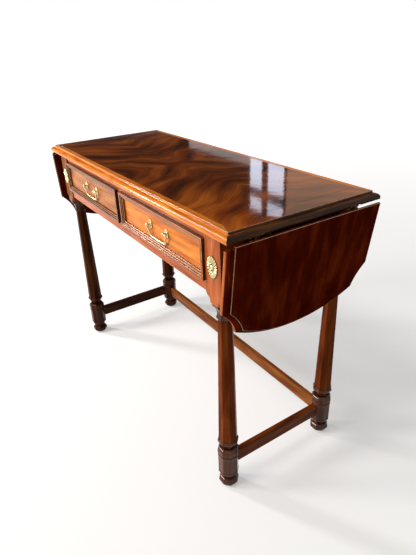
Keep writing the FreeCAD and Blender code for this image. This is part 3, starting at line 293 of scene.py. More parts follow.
def feathered_veneer(name, stains):
    """Plumes pick the colour, and streaks, pores, the joint and painted light shade it, under a wavy coat."""
    material, tree, shader = new_material(name)
    place = node(tree, "TexCoord", out="Object")
    folded = node(tree, "VectorMath", (place,), operation="ABSOLUTE")
    bent = drifted(tree, folded, FEATHER_DRIFT)
    across = node(tree, "VectorMath", (bent, (1.0, -FEATHER_LEAN, 0.0)), operation="DOT_PRODUCT", out=1)
    along = node(tree, "VectorMath", (bent, (FEATHER_LEAN, 1.0, 0.0)), operation="DOT_PRODUCT", out=1)
    space = node(tree, "CombineXYZ", (along, across))
    plume = long_noise(tree, space, 260, 62, 2.0, 0.45)
    streak = long_noise(tree, space, 140, 6, 3.0, 0.6)
    pore = long_noise(tree, space, 7, 1.0, 1.0, 0.4)
    stain = node(tree, "ValToRGB", (plume,), stain_stops(stains, 0.16))
    off_joint = node(tree, "SeparateXYZ", (folded,), out="Y")
    # Painted light: the colour lightens towards the right front corner.
    light_pool = node(tree, "VectorMath", (place, LIGHT_POOL_WAY), operation="DOT_PRODUCT", out=1)
    shade = shade_of(tree, [
        (streak, *NOISE_SPAN, 0.78, 1.2), (pore, *PORE_PEAKS, 1.0, 0.75),
        (off_joint, JOINT_HALF, 2 * JOINT_HALF, 0.6, 1.0), (light_pool, 0.25, 0.6, 1.0, 1.7)])
    wave = node(tree, "TexNoise", {"Vector": place, "Scale": 1 / COAT_WAVE, "Detail": 2.0})
    set_shader(
        tree, shader, base_color=node(tree, "VectorMath", (stain, shade), operation="MULTIPLY"),
        roughness=node(tree, "MapRange", (streak, *NOISE_SPAN, 0.4, 0.3)), specular_ior_level=0.0,
        coat_weight=1.0, coat_roughness=0.06,
        coat_normal=node(tree, "Bump", {"Height": wave, "Strength": 1.0, "Distance": COAT_WAVE_DEPTH}))
    return material


veneer = feathered_veneer("mahogany_crotch_veneer", ("#401906", "#71330b", "#9a5016"))
print("veneer bands lean", FEATHER_LEAN, "to 1")

# %% [markdown]
# ## Oak inside, brass and steel outside
#
# Drawer sides, runners and blocks are plain oak, sawn and sanded but not polished, so they are pale and dull
# with open pores. The handles and the rosettes are cast brass with years of polish on the high places and
# brown tarnish in the low ones. The hinges, stays and screws are drawn and pressed brass, flatter and
# plainer, and the glides under the feet are nickelled steel.

# %% Oak and metals
def sanded_oak(name, along):
    """Growth rings pick the colour, and open pores darken and dent it."""
    material, tree, shader = new_material(name)
    space = grain_space(tree, along, 0.13)
    ring = long_noise(tree, space, 160, 7, 3.0, 0.6)
    pore = long_noise(tree, space, 12, 0.8, 1.0, 0.4)
    stain = node(tree, "ValToRGB", (ring,), stain_stops(("#8d6b41", "#ad8a5a", "#c4a475"), 0.18))
    shade = node(tree, "MapRange", (pore, 0.56, 0.7, 1.0, 0.6))
    set_shader(
        tree, shader, base_color=node(tree, "VectorMath", (stain, shade), operation="MULTIPLY"),
        roughness=node(tree, "MapRange", (ring, *NOISE_SPAN, 0.62, 0.5)),
        normal=node(tree, "Bump", {"Height": shade, "Strength": 0.3, "Distance": 0.2 * MM}),
        specular_ior_level=0.3)
    return material


def metal(name, low, high, rough, speck_mm, cast=False):
    """A metal whose colour and roughness wander between two tones. A casting is dull in its low places."""
    material, tree, shader = new_material(name)
    place = node(tree, "TexCoord", out="Object")
    cloud = node(tree, "TexNoise", {"Vector": place, "Scale": 1 / (speck_mm * MM), "Detail": 3.0})
    dull = node(tree, "MapRange", (cloud, 0.35, 0.65, 0.0, 0.6))
    if cast:
        depth = node(tree, "Attribute", attribute_name="hollow", out="Fac")
        dull = node(tree, "Math", (dull, 0.35, depth), operation="MULTIPLY_ADD", use_clamp=True)
    tone = node(tree, "ValToRGB", (dull,), [(0.0, colour(high)), (1.0, colour(low))])
    set_shader(
        tree, shader, base_color=tone, metallic=1.0,
        roughness=node(tree, "MapRange", (dull, 0.0, 1.0, rough, rough + 0.3)),
        normal=node(tree, "Bump", {"Height": cloud, "Strength": 0.1, "Distance": 0.1 * MM}))
    return material


oak = {along: sanded_oak("oak_sanded_" + along, along) for along in "xyz"}
cast_brass = metal("brass_cast_aged", "#2b2010", "#f0dfa8", 0.2, 3, cast=True)
pressed_brass = metal("brass_pressed", "#7d6430", "#cdb26a", 0.3, 5)
nickelled = metal("steel_nickelled", "#6a6862", "#c9c7c2", 0.25, 4)
print("metals:", cast_brass.name, pressed_brass.name, nickelled.name)

# %% [markdown]
# ## Surfaces from rings of points
#
# Nearly every new piece here is a skin over rings: a leg is a tall stack of eight-sided rings, a bail is
# circles along a bent line, a rosette is ovals one inside the next. So one function takes an array of rings
# and lays quads between neighbours. The first and last rings are closed with a fan. Weighted normals keep
# broad faces flat beside a small eased edge, which is what makes lacquered woodwork look crisp.

# %% From rings to a finished piece
def ring_faces(count, around, first):
    """Quads between ring k and ring k + 1 for every neighbour pair j and j + 1, then a fan at each end."""
    k, j = np.meshgrid(np.arange(count - 1), np.arange(around), indexing="ij")
    after = (j + 1) % around
    quads = np.stack([k * around + j, k * around + after, (k + 1) * around + after, (k + 1) * around + j], -1)
    ring = np.arange(around)
    after = (ring + 1) % around
    low_middle, last = count * around, (count - 1) * around
    low_fan = np.stack([after, ring, np.full(around, low_middle)], -1)
    high_fan = np.stack([last + ring, last + after, np.full(around, low_middle + 1)], -1)
    return [(face + first).tolist() for part in (quads.reshape(-1, 4), low_fan, high_fan) for face in part]


def skin(name, shells, depths):
    """One mesh of closed shells, each an array of (ring, point, xyz) in mm. Their depths become hollow."""
    points, faces, depth = [], [], []
    for rings, deep in zip(shells, depths):
        faces += ring_faces(rings.shape[0], rings.shape[1], sum(len(p) for p in points))
        points.append(np.vstack([rings.reshape(-1, 3), rings[[0, -1]].mean(1)]))
        depth.append(np.concatenate([deep.ravel(), deep[[0, -1]].mean(1)]))
    mesh = bpy.data.meshes.new(name)
    mesh.from_pydata((np.vstack(points) * MM).tolist(), [], faces)
    hollow = mesh.attributes.new("hollow", "FLOAT", "POINT")
    hollow.data.foreach_set("value", np.concatenate(depth).astype(np.float32))
    work = bmesh.new()
    work.from_mesh(mesh)
    bmesh.ops.remove_doubles(work, verts=work.verts, dist=0.001 * MM)
    bmesh.ops.recalc_face_normals(work, faces=work.faces)
    work.to_mesh(mesh)
    work.free()
    made = bpy.data.objects.new(name, mesh)
    bpy.context.scene.collection.objects.link(made)
    return made


def complete(piece, node_name, finish, sharp_deg=35):
    """Gives a new piece its finish and shading, puts it on its node's body, and hides that node."""
    mesh = piece.data
    mesh.materials.clear()
    mesh.materials.append(finish)
    mesh.shade_smooth()
    mesh.set_sharp_from_angle(angle=math.radians(sharp_deg))
    modifier = piece.modifiers.new("broad faces first", "WEIGHTED_NORMAL")
    modifier.keep_sharp = True
    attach(piece, BODY_OF[node_name])
    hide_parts(node_name)


def part_finishes(mesh, finishes, choose):
    """Adds finishes to a mesh. choose gets every face's middle and normal and gives its slot."""
    for finish in finishes:
        mesh.materials.append(finish)
    middle, normal = np.empty(3 * len(mesh.polygons)), np.empty(3 * len(mesh.polygons))
    mesh.polygons.foreach_get("center", middle)
    mesh.polygons.foreach_get("normal", normal)
    chosen = choose(middle.reshape(-1, 3), normal.reshape(-1, 3))
    mesh.polygons.foreach_set("material_index", chosen.astype(np.int32))


print("faces of a four-sided stick:", len(ring_faces(2, 4, 0)))

# %% [markdown]
# Turned and moulded work starts from a profile, which is a line of points in a plane. Three points give each
# of its arcs, as a maker would draw it on a template, and its sharp corners are cut back a little, as
# sandpaper leaves them.

# %% Arcs and eased corners of a profile
def arc_through(start, middle, end, count=7):
    """Points on the circle through three points: its centre is where two perpendicular bisectors cross."""
    a, b, c = (np.array(p, float) for p in (start, middle, end))
    centre = np.linalg.solve(2 * np.array([b - a, c - a]), [b @ b - a @ a, c @ c - a @ a])
    radius = np.hypot(*(a - centre))
    angles = np.unwrap([math.atan2(*(p - centre)[::-1]) for p in (a, b, c)])
    t = np.linspace(angles[0], angles[2], count)
    return centre + radius * np.stack([np.cos(t), np.sin(t)], -1)


SHARP_TURN, EASED_SHARE = math.radians(25), 0.4


def eased_line(points, ease):
    """A polyline whose sharp corners are cut back and bridged by a middle point, as sandpaper does.

    A corner goes back by ease, or by EASED_SHARE of its shorter side where that is less.
    """
    p = np.asarray(points, float)
    before, after = p[1:-1] - p[:-2], p[2:] - p[1:-1]
    d0, d1 = np.hypot(*before.T), np.hypot(*after.T)
    turn = np.arccos(np.clip((before * after).sum(1) / (d0 * d1), -1, 1))
    back = np.where(turn > SHARP_TURN, np.minimum(ease, EASED_SHARE * np.minimum(d0, d1)), 0)[:, None]
    into, out = p[1:-1] - before / d0[:, None] * back, p[1:-1] + after / d1[:, None] * back
    middle = 0.5 * p[1:-1] + 0.25 * (into + out)
    inner = np.stack([into, middle, out], 1)
    keep = np.repeat(back > 0, 3, axis=1)
    keep[:, 1] = True
    return np.vstack([p[:1], inner[keep], p[-1:]])


print("a quarter arc:", arc_through((1, 0), (0.70711, 0.70711), (0, 1), 3).round(3).tolist())

# %% [markdown]
# ## The legs
#
# Each leg is one stick of 54 mm. The top is left square, and below it the maker cut eight faces, then shaped
# foot, rings and neck on every face alike. So a leg is a profile of half widths up its height, and at each
# height its outline is what eight faces leave: in any direction, the nearest face ends it. We soften that
# "nearest" with a high power, which rounds the eight arrises by a fraction of a millimetre. The underside of
# the foot is rasped nearly round, which is a lower power.

# %% Eight faces up a profile
LEG_STEPS = [
    (18, 3), (23.5, 12.9, 18, 25), (16.5, 25),  # foot
    (19.5, 34, 22.5, 40), (24, 45, 22.5, 50), (23.5, 50),  # neck and bead over the foot
    (23.5, 95), (24.25, 98, 23.5, 101), (22.5, 101), (22.5, 105.5),  # block that takes the bars
    (24.5, 105.5), (24.5, 113), (22.157, 121.485, 16.5, 125), (15, 125),  # ring that narrows
    (18.6, 134.6, 22.5, 141), (24, 145.5, 22.5, 150), (21.25, 150),  # ring that widens again
    (15, 487), (16.5, 487), (18, 490.5, 16.5, 494),  # tapered shaft and its collar
    (18.697, 510.971, 24, 518), (25.5, 521.5, 24, 525), (27, 525)]  # neck that widens to the square block
BLOCK_HALF, BLOCK_TOP, CHAMFER_FOOT, CHAMFER_TOP = 27.0, 681.0, 525.0, 544.0
LEG_X, LEG_Y = 424.4, 156.6
SHAFT_FOOT, SHAFT_TOP = 150.5, 486.5
LEG_EASE, RING_STEP = 0.5, 3.0
FOOT_POWER, FACE_POWER, ROUNDED_UP_TO = 14, 150, (8, 25)
HOLLOW_FALL, HOLLOW_DEPTH, HIGHLIGHT_DEGREES = 0.7, 4.0, 1.3


def moulding_line(steps):
    """A profile from steps of two numbers for a straight run, or four for an arc through the first two."""
    line = [np.array([steps[0]], float)]
    for step in steps[1:]:
        start = line[-1][-1]
        line.append(arc_through(start, step[:2], step[2:])[1:] if len(step) == 4 else np.array([step], float))
    return np.vstack(line)


def closer(line, step):
    """A polyline with points added every step along it, but none beside a point that it has."""
    along = np.concatenate([[0], np.cumsum(np.hypot(*np.diff(line, axis=0).T))])
    even = np.arange(step, along[-1], step)
    even = even[np.abs(even[:, None] - along).min(1) > 0.3 * step]
    at = np.union1d(along, even)
    return np.stack([np.interp(at, along, line[:, 0]), np.interp(at, along, line[:, 1])], -1)


def leg_rings():
    """Rings (height, direction, xyz) and how hollow they are.

    The reach in a direction is the power mean of every face's own reach. A place is as hollow as it lies
    below lines that fall at HOLLOW_FALL to 1 from every place above or below it, as a share of HOLLOW_DEPTH,
    and its hollow is painted shade. An arris counts as -1, a painted highlight, and as less within a few
    HIGHLIGHT_DEGREES of it.
    """
    line = eased_line(moulding_line(LEG_STEPS + [(BLOCK_HALF, BLOCK_TOP)]), LEG_EASE)
    line = closer(line, RING_STEP)
    flat, height = line.T
    rise = np.clip((height - CHAMFER_FOOT) / (CHAMFER_TOP - CHAMFER_FOOT), 0, 1)
    corner = np.where(height > CHAMFER_FOOT, BLOCK_HALF + (BLOCK_HALF * (math.sqrt(2) - 1)) * rise, flat)
    offsets = np.array([-3.5, -1.6, -0.6, 0.6, 1.6, 3.5])
    corners = np.arange(0, 360, 22.5)
    degrees = np.sort(np.unique(np.concatenate([(corners[:, None] + offsets).ravel(), corners])))
    at = np.radians(degrees)
    faces = np.radians(np.arange(0, 360, 45))
    half = np.where(np.arange(8) % 2 == 0, flat[:, None], corner[:, None])
    share = np.maximum(np.cos(at[:, None] - faces), 1e-6)[None] / half[:, None, :]
    top = share.max(2, keepdims=True)
    power = np.interp(height, ROUNDED_UP_TO, (FOOT_POWER, FACE_POWER))[:, None]
    reach = 1 / (top[..., 0] * ((share / top) ** power[..., None]).sum(2) ** (1 / power))
    # Hollows paint shade into the recesses, and the arrises take a painted highlight.
    shadow = (flat - HOLLOW_FALL * np.abs(height[:, None] - height)).max(1)
    hollow = np.clip((shadow - flat) / HOLLOW_DEPTH, 0, 1)[:, None]
    off_arris = degrees % 45 - 22.5
    highlit_edge = np.exp(-(off_arris / HIGHLIGHT_DEGREES) ** 2) * (height < CHAMFER_FOOT)[:, None] * (hollow < 0.05)
    level = np.broadcast_to(height[:, None], reach.shape)
    return np.stack([reach * np.cos(at), reach * np.sin(at), level], -1), hollow - highlit_edge


def leg_slots(middle, normal):
    """Slot 2 on the square block, 0 on the shaft, and 1 on the foot, rings and necks."""
    height = middle[:, 2] / MM
    return np.select([height > CHAMFER_FOOT, (height < SHAFT_FOOT) | (height > SHAFT_TOP)], [2, 1])


rings, hollows = leg_rings()
for side, sx in SIDES.items():
    for depth, sy in (("front", -1), ("rear", 1)):
        name = f"{depth}_{side}_leg"
        leg = skin(name + "_turned", [rings + (sx * LEG_X, sy * LEG_Y, 0)], [hollows])
        # A left leg's finishes carry painted shade.
        complete(leg, name, wood[side + "_shaft"])
        part_finishes(leg.data, [wood[side + "_rings"], wood[side + "_block"]], leg_slots)
print("leg rings", rings.shape[0], "of", rings.shape[1], "points")

# %% [markdown]
# ## The reeded frames of the drawers
#
# A strip with a flat rim and three reeds is planted round each drawer front and mitred at the corners. Its
# section is a line of points, measured in from the rim and out from the field. At a mitre every point of the
# section moves along both sides by its own distance from the rim, so a strip is just that section at its two
# ends. A gap of a tenth of a millimetre keeps the mitres visible as fine lines.

# %% Four mitred strips round each drawer
FIELD_Y = -180.6
FRAME_BOX = (10.8, 396.6, 569.8, 660.2)
RIM, STRIP_WIDTH, STRIP_HEIGHT, FIELD_STEP, REEDS = 3.0, 16.0, 9.0, 2.5, 3
BULGE_SHARE, RIM_EASE = 0.22, 0.7
MITRE_GAP = 0.05


def reed_section():
    """In from the rim and out from the field: the rim, then equal arcs down a slope, then the step.

    The middle of an arc stands BULGE_SHARE of its chord's length off the chord.
    """
    run, fall = (STRIP_WIDTH - RIM) / REEDS, (STRIP_HEIGHT - FIELD_STEP) / REEDS
    steps = [(0.0, 0.0), (0.0, STRIP_HEIGHT), (RIM, STRIP_HEIGHT)]
    for k in range(REEDS):
        u, v = RIM + k * run, STRIP_HEIGHT - k * fall
        steps.append((u + run / 2 + BULGE_SHARE * fall, v - fall / 2 + BULGE_SHARE * run, u + run, v - fall))
    line = moulding_line(steps)
    rim_end = 3
    return np.vstack([eased_line(line[:rim_end + 1], RIM_EASE), line[rim_end + 1:], [(STRIP_WIDTH, 0.0)]])


def strip_shells(x0, x1, z0, z1):
    """Each strip is its section twice, at its two mitres. Corner k's point lies in by u along both sides.

    Its hollows, a painted shade, are the places where two reeds meet: 1 within 0.6 mm of there, and 0 from
    1.8 mm away. On the upright strips the painted shade is wider: 1 within 1.1 mm and 0 from 2.1 mm. The
    outer side lies in the gap round the drawer and is painted in shade at 0.95.
    """
    u, v = reed_section().T
    y = FIELD_Y - v
    joins = RIM + np.arange(REEDS + 1) * (STRIP_WIDTH - RIM) / REEDS
    # Painted shade where reeds meet.
    off_join = np.abs(u[:, None] - joins).min(1)
    level = np.clip(1.5 - off_join / 1.2, 0, 1) * (v > 0)
    upright = np.clip(2.1 - off_join, 0, 1) * (v > 0)
    level[u < 0.01] = upright[u < 0.01] = 0.95
    corners = [(x0, z0, 1, 1), (x1, z0, -1, 1), (x1, z1, -1, -1), (x0, z1, 1, -1)]
    shells = []
    for (xa, za, ax, az), (xb, zb, bx, bz) in zip(corners, corners[1:] + corners[:1]):
        start = np.stack([xa + ax * u, y, za + az * u], -1)
        end = np.stack([xb + bx * u, y, zb + bz * u], -1)
        way = np.sign(end - start) * (np.abs(end - start) > STRIP_WIDTH)
        shells.append(np.stack([start + way * MITRE_GAP, end - way * MITRE_GAP]))
    return shells, [np.stack([hollow, hollow]) for hollow in (level, upright, level, upright)]


for side, sx in SIDES.items():
    x0, x1 = sorted((sx * FRAME_BOX[0], sx * FRAME_BOX[1]))
    # The left frame's finish carries painted shade.
    strips = skin(f"{side}_drawer_mitred_frame", *strip_shells(x0, x1, *FRAME_BOX[2:]))
    complete(
        strips, f"{side}_drawer_reeded_frame", wood[side + "_reeds"], sharp_deg=50)
print("reed section points:", len(reed_section()))

# %% [markdown]
# ## Cast brass: rosettes, plates, posts and bails
#
# The castings are small and seen close, so they deserve relief. A rosette is an oval: we walk out from its
# middle in rings and let the height change with the distance and with the angle, which gives a boss, a
# hollow round it, and a ring of petals. The same walk makes the plates behind the handles. The depth below
# the highest place is kept on the mesh, and the material reads it to put tarnish in the low places.

# %% Ovals with relief
def oval_relief(width, height, lobes, scallop, base, relief, bright, rings=28, around=240):
    """An oval plate facing -Y. At share s of the way out and angle t, it stands base + relief(s, t) mm proud.

    The outline's reach is 1 - scallop * (1 - |cos(lobes t / 2)|), so it dips between the lobes. A place is
    hollow by what its relief lacks to be bright mm high, as a share.
    """
    t = np.linspace(0, 2 * math.pi, around, endpoint=False)
    petal = np.abs(np.cos(lobes * t / 2))
    edge = 1 - scallop * (1 - petal)
    s = np.linspace(0.0, 1.0, rings)[::-1, None]
    rise = relief(s, petal[None])
    proud = base + rise
    x = s * edge * width / 2 * np.cos(t)
    z = s * edge * height / 2 * np.sin(t)
    face = np.stack([x, -proud, z], -1)
    back = np.stack([x[0], np.zeros(around), z[0]], -1)[None]
    depth = np.clip(1 - rise / bright, 0, 1)
    return np.concatenate([back, face]), np.concatenate([depth[:1], depth])


def smooth_between(value, low, high):
    """0 below low, 1 above high, and 3 t squared less 2 t cubed between them."""
    t = np.clip((value - low) / (high - low), 0, 1)
    return t * t * (3 - 2 * t)


def rosette_relief(s, petal):
    """A domed boss, a hollow with a raised lip, then petals that fall away to the rim."""
    boss = 2.6 * np.sqrt(np.clip(1 - (s / 0.26) ** 2, 0, 1))
    lip = 1.2 * np.exp(-((s - 0.42) / 0.05) ** 2)
    petals = 2.0 * petal * smooth_between(s, 0.46, 0.6) * (1 - smooth_between(s, 0.9, 1.03))
    return boss + lip + petals


def plate_relief(s, petal):
    """A leafy plate: veins fan out from a raised seat, and the rim is thin."""
    seat = 0.9 * (1 - smooth_between(s, 0.3, 0.45))
    leaf = 0.8 * (0.3 + 0.7 * petal) * smooth_between(s, 0.35, 0.55) * (1 - smooth_between(s, 0.85, 1.02))
    return seat + leaf


BLOCK_FACE_Y, ROSETTE_Z = -183.6, 609.0
CAST_SHARP_DEG = 60
shape, depth = oval_relief(
    width=35, height=48, lobes=20, scallop=0.14, base=1.0, relief=rosette_relief, bright=1.2)
places = [np.array([sx * LEG_X, BLOCK_FACE_Y, ROSETTE_Z]) for sx in SIDES.values()]
rosettes = skin("rosettes_cast", [shape + p for p in places], [depth, depth])
complete(rosettes, "rosettes", cast_brass, CAST_SHARP_DEG)
print("rosette stands proud by mm:", round(float(-shape[..., 1].min()), 2))

# %% [markdown]
# The swan-neck bail is a bar bent in one plane and swelled in the middle. A bend is worked out from where the
# bar is and where it heads. The bar's thickness is then a function of the distance from its middle: a swelled
# grip, a bead at each end of the swell, and thin necks. It hangs turned in about its pivots until the grip
# nearly touches the drawer.

# %% Handles
HANDLE_X, PIVOT_Y, PIVOT_Z = 203.7, -189.6, 619.5
HALF_CENTRES, PLATE_THICKNESS, PLATE_CROWN = 38.0, 1.6, 0.3
BALL, NECK, POST_FOOT, TAIL, TAIL_LENGTH = 4.2, 2.6, 4.5, 2.0, 18.0
KNOB = ((1.4, -0.1), (1.2, 0.5), (0.5, 0.9))  # radius, and how far beyond the ball
ARM_GAP = 0.05
ARM_START = HALF_CENTRES + BALL + ARM_GAP
BAR, EYE = 2.1, 1.6
GRIP_HALF, GRIP_SWELL, BEAD_AT, BEAD_SWELL, BEAD_HALF = 17.0, 1.2, 16.5, 0.9, 1.3
BAIL_BENDS = ((4.5, -132, 0), (0, 0, 7), (9, 42, 0), (10, -90, 0))  # radius and turn in degrees, or a run
LEAN_IN = math.radians(10.83)


def half_bail_line():
    """Points of the right half in its own plane, from the grip's middle to the pivot in the post."""
    here, heading, line = np.array([ARM_START, 0.0]), 0.0, [np.array([[HALF_CENTRES - BALL / 2, 0.0]])]
    for bend, turn, run in BAIL_BENDS:
        if bend:
            side = math.copysign(1, turn)
            centre = here + side * bend * np.array([-math.sin(heading), math.cos(heading)])
            t = np.linspace(0, math.radians(turn), 14)[:, None]
            arm = here - centre
            line.append(centre + np.hstack([
                arm[0] * np.cos(t) - arm[1] * np.sin(t), arm[0] * np.sin(t) + arm[1] * np.cos(t)]))
            heading += math.radians(turn)
        else:
            line.append((here + run * np.array([math.cos(heading), math.sin(heading)]))[None])
        here = line[-1][-1]
    grip = np.stack([np.linspace(here[0], 0, 24), np.full(24, here[1])], -1)
    return np.vstack(line + [grip])[::-1]


def bail_shell():
    """Circles carried along the bar: at each point the ring lies square to the way the bar runs.

    On the grip the radius is BAR, plus a swell that falls to the 1.5th power of the share of GRIP_HALF left,
    plus a bead shaped like a bell. In the post it is EYE.
    """
    half = half_bail_line()
    line = np.vstack([half[::-1] * (-1, 1), half[1:]])
    step = np.hypot(*np.diff(line, axis=0).T)
    keep = np.concatenate([[True], step > 1e-4])
    line = line[keep]
    way = np.gradient(line, axis=0)
    way /= np.hypot(*way.T)[:, None]
    x = np.abs(line[:, 0])
    low = line[:, 1] < line[:, 1].min() + 1.0
    swell = GRIP_SWELL * np.clip(1 - x / GRIP_HALF, 0, 1) ** 1.5
    bead = BEAD_SWELL * np.exp(-((x - BEAD_AT) / BEAD_HALF) ** 2)
    radius = np.where(low, BAR + swell + bead, BAR)
    radius = np.where(line[:, 1] > -0.01, EYE, radius)
    t = np.linspace(0, 2 * math.pi, 28, endpoint=False)
    out = np.stack([-way[:, 1], np.zeros(len(way)), way[:, 0]], -1)
    ring = out[:, None] * np.cos(t)[:, None] + np.array([0.0, 1.0, 0.0]) * np.sin(t)[:, None]
    centre = np.stack([line[:, 0], np.zeros(len(line)), line[:, 1]], -1)
    return centre[:, None] + ring * radius[:, None, None]


def leaned(points):
    """Turns points about the pivots' own line, which runs along X through the origin: the grip goes to +Y."""
    c, s = math.cos(LEAN_IN), math.sin(LEAN_IN)
    return points @ np.array([[1, 0, 0], [0, c, -s], [0, s, c]]).T


def post_shell():
    """A turned post along -Y: flared foot, narrow neck, ball. Rings are circles of the profile's radius."""
    reach = FIELD_Y - PIVOT_Y
    neck_end = reach - math.sqrt(BALL ** 2 - NECK ** 2)
    foot = moulding_line([
        (POST_FOOT, PLATE_THICKNESS), (NECK, (PLATE_THICKNESS + neck_end) / 2, NECK, neck_end)])
    a = np.linspace(math.acos((reach - neck_end) / BALL), math.pi - 0.05, 16)
    ball = np.stack([BALL * np.sin(a), reach - BALL * np.cos(a)], -1)
    knob = np.array(KNOB) + (0, reach + BALL)
    radius, out = np.vstack([[(TAIL, -TAIL_LENGTH)], [(TAIL, PLATE_THICKNESS)], foot, ball[1:], knob]).T
    radius, out = radius[:, None], out[:, None]
    t = np.linspace(0, 2 * math.pi, 32, endpoint=False)
    return np.stack([radius * np.cos(t), np.broadcast_to(-out, (len(out), len(t))), radius * np.sin(t)], -1)


plate, plate_depth = oval_relief(
    width=18, height=25, lobes=10, scallop=0.14, base=0.8, relief=plate_relief, bright=0.7,
    rings=20, around=160)
plate[..., 1] = np.maximum(plate[..., 1], -PLATE_THICKNESS - PLATE_CROWN)
post, bail = post_shell(), leaned(bail_shell())
post_depth, bail_depth = np.full(post.shape[:2], 0.25), np.full(bail.shape[:2], 0.1)
for side, sx in SIDES.items():
    handle = f"{side}_handle"
    posts_at = [np.array([sx * HANDLE_X + k * HALF_CENTRES, FIELD_Y, PIVOT_Z]) for k in (-1, 1)]
    plates = skin(handle + "_leafy_plates", [plate + p for p in posts_at], [plate_depth] * 2)
    complete(plates, handle + "_plates", cast_brass, CAST_SHARP_DEG)
    posts = skin(handle + "_turned_posts", [post + p for p in posts_at], [post_depth] * 2)
    complete(posts, handle + "_posts", cast_brass)
    swing = skin(handle + "_swelled_bail", [bail + (sx * HANDLE_X, PIVOT_Y, PIVOT_Z)], [bail_depth])
    complete(swing, handle + "_bail", cast_brass, CAST_SHARP_DEG)
print("bail drops by mm:", round(float(-bail[..., 2].min()), 2))

# %% [markdown]
# ## Boards with eased arrises
#
# No board leaves a workshop with razor edges: a few strokes of sandpaper cut each arris back by 0.8 mm, and
# lacquer gathers there and catches the light. The solids' edges are ideal. So each board is copied, its loose
# triangles are joined, its long sharp outer edges are marked, and a bevel rounds only those and gives them a
# paler finish, a painted highlight. Inner corners stay sharp, since a bevel would fill the recess that a
# hinge's flap lies in, and so do the short edges of screw holes. A leaf's edge, but for the strip beside its
# outer face, has a finish of its own: a painted light on the right leaf and a painted shade on the left one.
# An end lipping is veneered on top like the panel.

# %% Copies of the boards, joined and eased
ARRIS_WIDTH, SHORTEST_ARRIS, ARRIS_FOLD = 0.8 * MM, 2.4 * MM, math.radians(28)


def eased_board(name, finish):
    """Copies a node, merges doubles, dissolves flat joins, and bevels each long, sharp outer edge."""
    mesh = frame["nodes"][name].data.copy()
    mesh.name = name + "_eased"
    work = bmesh.new()
    work.from_mesh(mesh)
    bmesh.ops.remove_doubles(work, verts=work.verts, dist=0.01 * MM)
    bmesh.ops.dissolve_limit(work, angle_limit=math.radians(0.5), verts=work.verts, edges=work.edges)
    mark = work.edges.layers.float.new("bevel_weight_edge")
    for edge in work.edges:
        if edge.is_manifold and edge.calc_length() > SHORTEST_ARRIS:
            edge[mark] = float(edge.is_convex and edge.calc_face_angle() > ARRIS_FOLD)
    work.to_mesh(mesh)
    work.free()
    made = bpy.data.objects.new(name + "_eased", mesh)
    bpy.context.scene.collection.objects.link(made)
    bevel = made.modifiers.new("eased arrises", "BEVEL")
    bevel.limit_method = "WEIGHT"
    bevel.width = ARRIS_WIDTH
    bevel.segments = 3
    bevel.use_clamp_overlap = False
    # Slot 1, on the bevel, takes the pale finish of a painted highlight.
    bevel.material = 1
    complete(made, name, finish)
    mesh.materials.append(wood["rubbed"])
    return made


BOARDS = [
    ("top_front_lipping", "moulding", "mahogany_rail"), ("top_rear_lipping", "moulding", "mahogany_rail"),
    ("top_left_lipping", "end_lipping", "mahogany_top"), ("top_right_lipping", "end_lipping", "mahogany_top"),
    ("front_top_rail", "rail", "mahogany_rail"), ("front_bottom_rail", "rail", "mahogany_rail"),
    ("centre_stile", "right_block", "mahogany_rail"), ("rear_apron", "rail", "mahogany_rail"),
    ("left_end_apron", "apron", "mahogany_rail"), ("right_end_apron", "apron", "mahogany_rail"),
    ("left_stretcher", "left_bar", "mahogany_turned"), ("right_stretcher", "right_bar", "mahogany_turned"),
    ("rear_stretcher", "long_bar", "mahogany_turned"),
    ("left_leaf", "left_leaf", "mahogany_leaf"), ("right_leaf", "right_leaf", "mahogany_leaf"),
    ("left_drawer_front", "left_drawer", "mahogany_drawer"),
    ("right_drawer_front", "right_drawer", "mahogany_drawer"),
]
LEAF_HEAD, OUTER_STRIP = 660 * MM, 11 * MM


# The leaf edge's own finish is painted light on the right leaf and painted shade on the left.
def leaf_slots(middle, normal):
    """Slot 2 round a leaf's edge, below its head and more than OUTER_STRIP in from the outer face's plane."""
    outer = normal[np.argmax(normal[:, 0] * np.sign(middle[:, 0]))]
    reach = middle @ outer
    on_edge = (np.abs(normal @ outer) < 0.6) & (middle[:, 2] < LEAF_HEAD)
    return 2 * (on_edge & (reach < reach.max() - OUTER_STRIP))


def lipping_slots(middle, normal):
    """Slot 2 on faces that look straight up."""
    return 2 * (normal[:, 2] > 0.99)


for name, key, slot in BOARDS:
    board = eased_board(name, wood[key])
    if "leaf" in name:
        part_finishes(board.data, [wood[name + "_edge"]], leaf_slots)
    if key == "end_lipping":
        part_finishes(board.data, [veneer], lipping_slots)
print("eased boards:", len(BOARDS))

# %% [markdown]
# ## What stays as it is
#
# The panel of the top, the drawer boxes, the runners and all the fittings keep their own solids and only
# receive a finish. Drawer sides run from front to back and so does their grain, while backs and bottoms have
# theirs from side to side, and the corner blocks upwards. The first row of the table that fits a name holds
# for it, and whatever fits none before the last is a brass or steel fitting in the finish of pressed brass.

# %% Finishes for the solids that stay
STAYS = [
    ("top_panel", veneer), ("drawer_sides", oak["y"]), ("drawer_runners", oak["y"]),
    ("drawer_kickers", oak["y"]), ("drawer_", oak["x"]), ("corner_blocks", oak["z"]),
    ("foot_glides", nickelled), ("", pressed_brass)]
for name, solid in frame["nodes"].items():
    finish = next(made for part, made in STAYS if part in name)
    solid.data.materials.clear()
    solid.data.materials.append(finish)
print("solids shown as they are:", sum(not o.hide_render for o in frame["nodes"].values()))

